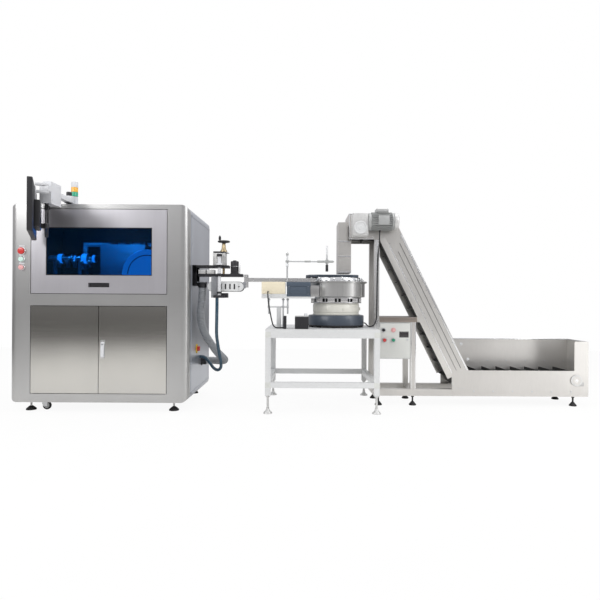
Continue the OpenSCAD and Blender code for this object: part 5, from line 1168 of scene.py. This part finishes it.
hop = Shape()
for x, z in ((1475, 603), (1540, 455)):
    hop.bolt((x, 197.8, z), "-y", 18, 7)
for x, z in around(*PATH[2], 86, 7, 200, 16):
    hop.screw((x, 197.6, z), "-y", 10, 3)
for x in range(1600, 2560, 190):
    hop.bolt((x, 197.4, 142), "-y", 12, 5)
for x in range(1480, 2700, 200):
    hop.bolt((x, 599.5, 400), "-y", 10, 3)
hop.make("hopper_bolts", ZINC, "elevator_steel")
rims = Shape().boxes(2, (1386, 197.2, 335, 1196, 12, 10), (1386, 590, 622, 1330, 12.6, 10),
    (2583, 197.2, 622, 136, 10, 10), (2583, 197.2, 345, 5, 5, 280, 1), (2713, 202, 622, 6.6, 392, 10),
    (1392, 203, 150, 1190, 3, 14, 1))
rims.make("hopper_rims", BRIGHT, "elevator_steel")
Shape().box((2600, 196.4, 196), (76, 1.4, 38), 0.5).make("rating_plate_blank", STEEL, "elevator_steel")
tail = Shape()
for y, out, axis in ((195, 187, "-y"), (604, 612, "y")):
    tail.ring((PATH[3][0], y, PATH[3][1]), axis, 112, 60, 9, 2)
    for x, z in around(*PATH[3], 44, 4, 45):
        tail.bolt((x, out, z), axis, 11, 4, False)
tail.make("tail_bearings", ALU, "elevator_steel")

# Painted highlight: bright strips on the fronts of the elevator posts stand in for light on the steel
bits = Shape().box((638, 199.4, 162), (24, 1.2, 1452), 0.5)
for x0, z0, z1 in ((624, 160, 1616), (984, 160, 811)):
    bits.boxes(0.5, (x0 + 1, 199.2, z0, 7, 1.4, z1 - z0), (x0 + 42, 199.2, z0, 7, 1.4, z1 - z0))
bits.make("post_edge_highlights", BRIGHT, "elevator_steel")
# Painted shade: a dark grey plate on the left face of the front post stands in for the shade on that side
Shape().box((624.4, 202, 162), (3, 44, 1450), 0.5).make("post_side_shade", DECK, "elevator_steel")
brace = Shape().box((676, 198.6, 813), (368, 2, 48), 0.6)
brace.make("brace_cover", finish("brace_brown", (0.3, 0.26, 0.23), 0.35, 0.7, (160, 20, 20), 0.1, 0.05),
    "elevator_steel")

door = Shape().boxes(0.8, (683, 199.4, 458, 282, 2, 4), (683, 199.4, 796, 282, 2, 4))
for z in (500, 750):
    door.box((676, 197.4, z), (9, 10, 42), 2)
door.solid((952, 199.6, 640), "-y", [(11, 0), (11, 2), (7, 3.5), (7, 2)], 28)
door.make("door_trim", ZINC, "white_paint", "control_box_door")
screen = Shape().boxes(0.8, (871, 199.6, 662, 92, 2.4, 5), (871, 199.6, 716, 92, 2.4, 5),
    (871, 199.6, 662, 5, 2.4, 58), (958, 199.6, 662, 5, 2.4, 58))
screen.make("display_frame", BLACK_PLASTIC, "black_plastic", "control_box_door")
glass = Shape().box((876, 201.6, 667), (82, 1.2, 48), 0.3)
glass.make("display_glass", DISPLAY, "black_plastic", "control_box_door")


def panel_button(name, x, z, head, material, node_name, slot, ringed=False):
    """A small panel button in front of the door, and its collar on the door."""
    r = head / 2
    made = Shape().rod((x, 180, z), "y", 18, 34, 0.6)
    made.lathe((x, 188, z), "-y", [(0, 0), (r, 0), (r, 7), (r * 0.9, 10.5), (r * 0.7, 11.6), (0, 12)], 36)
    made.make(name, material, slot, node_name, node_name)
    ring = Shape().ring((x, 200.2, z), "-y", head + 16, 19.5, 4, 1.2)
    for nub_x, nub_z in around(x - 1.2, z - 1.2, r + 5, 16):
        ring.box((nub_x, 195.8, nub_z), (2.4, 1.6, 2.4), 0)
    ring.make(name + "_collar", PINK if ringed else ZINC, "zinc", "control_box_door")


panel_button("elevator_lamp_head", 813, 735, 30, PINK, "lamp_button", "red_plastic", True)
panel_button("elevator_estop_head", 726, 636, 34, RED, "elevator_estop", "red_plastic")
panel_button("elevator_start_head", 813, 636, 30, GREEN, "elevator_start", "green_plastic")
switch = Shape().rod((716, 180, 735), "y", 18, 34, 0.6)
switch.solid((716, 188, 735), "-y", [(15, 0), (15, 6), (13, 8)], 36)
switch.box((713, 176, 720), (6, 13, 30), 1.6)
switch.make("selector_head", BLACK_PLASTIC, "black_plastic", "selector_switch", "selector_switch")
collar = Shape().ring((716, 200.2, 735), "-y", 46, 19.5, 4, 1.2)
collar.make("selector_collar", ZINC, "zinc", "control_box_door")
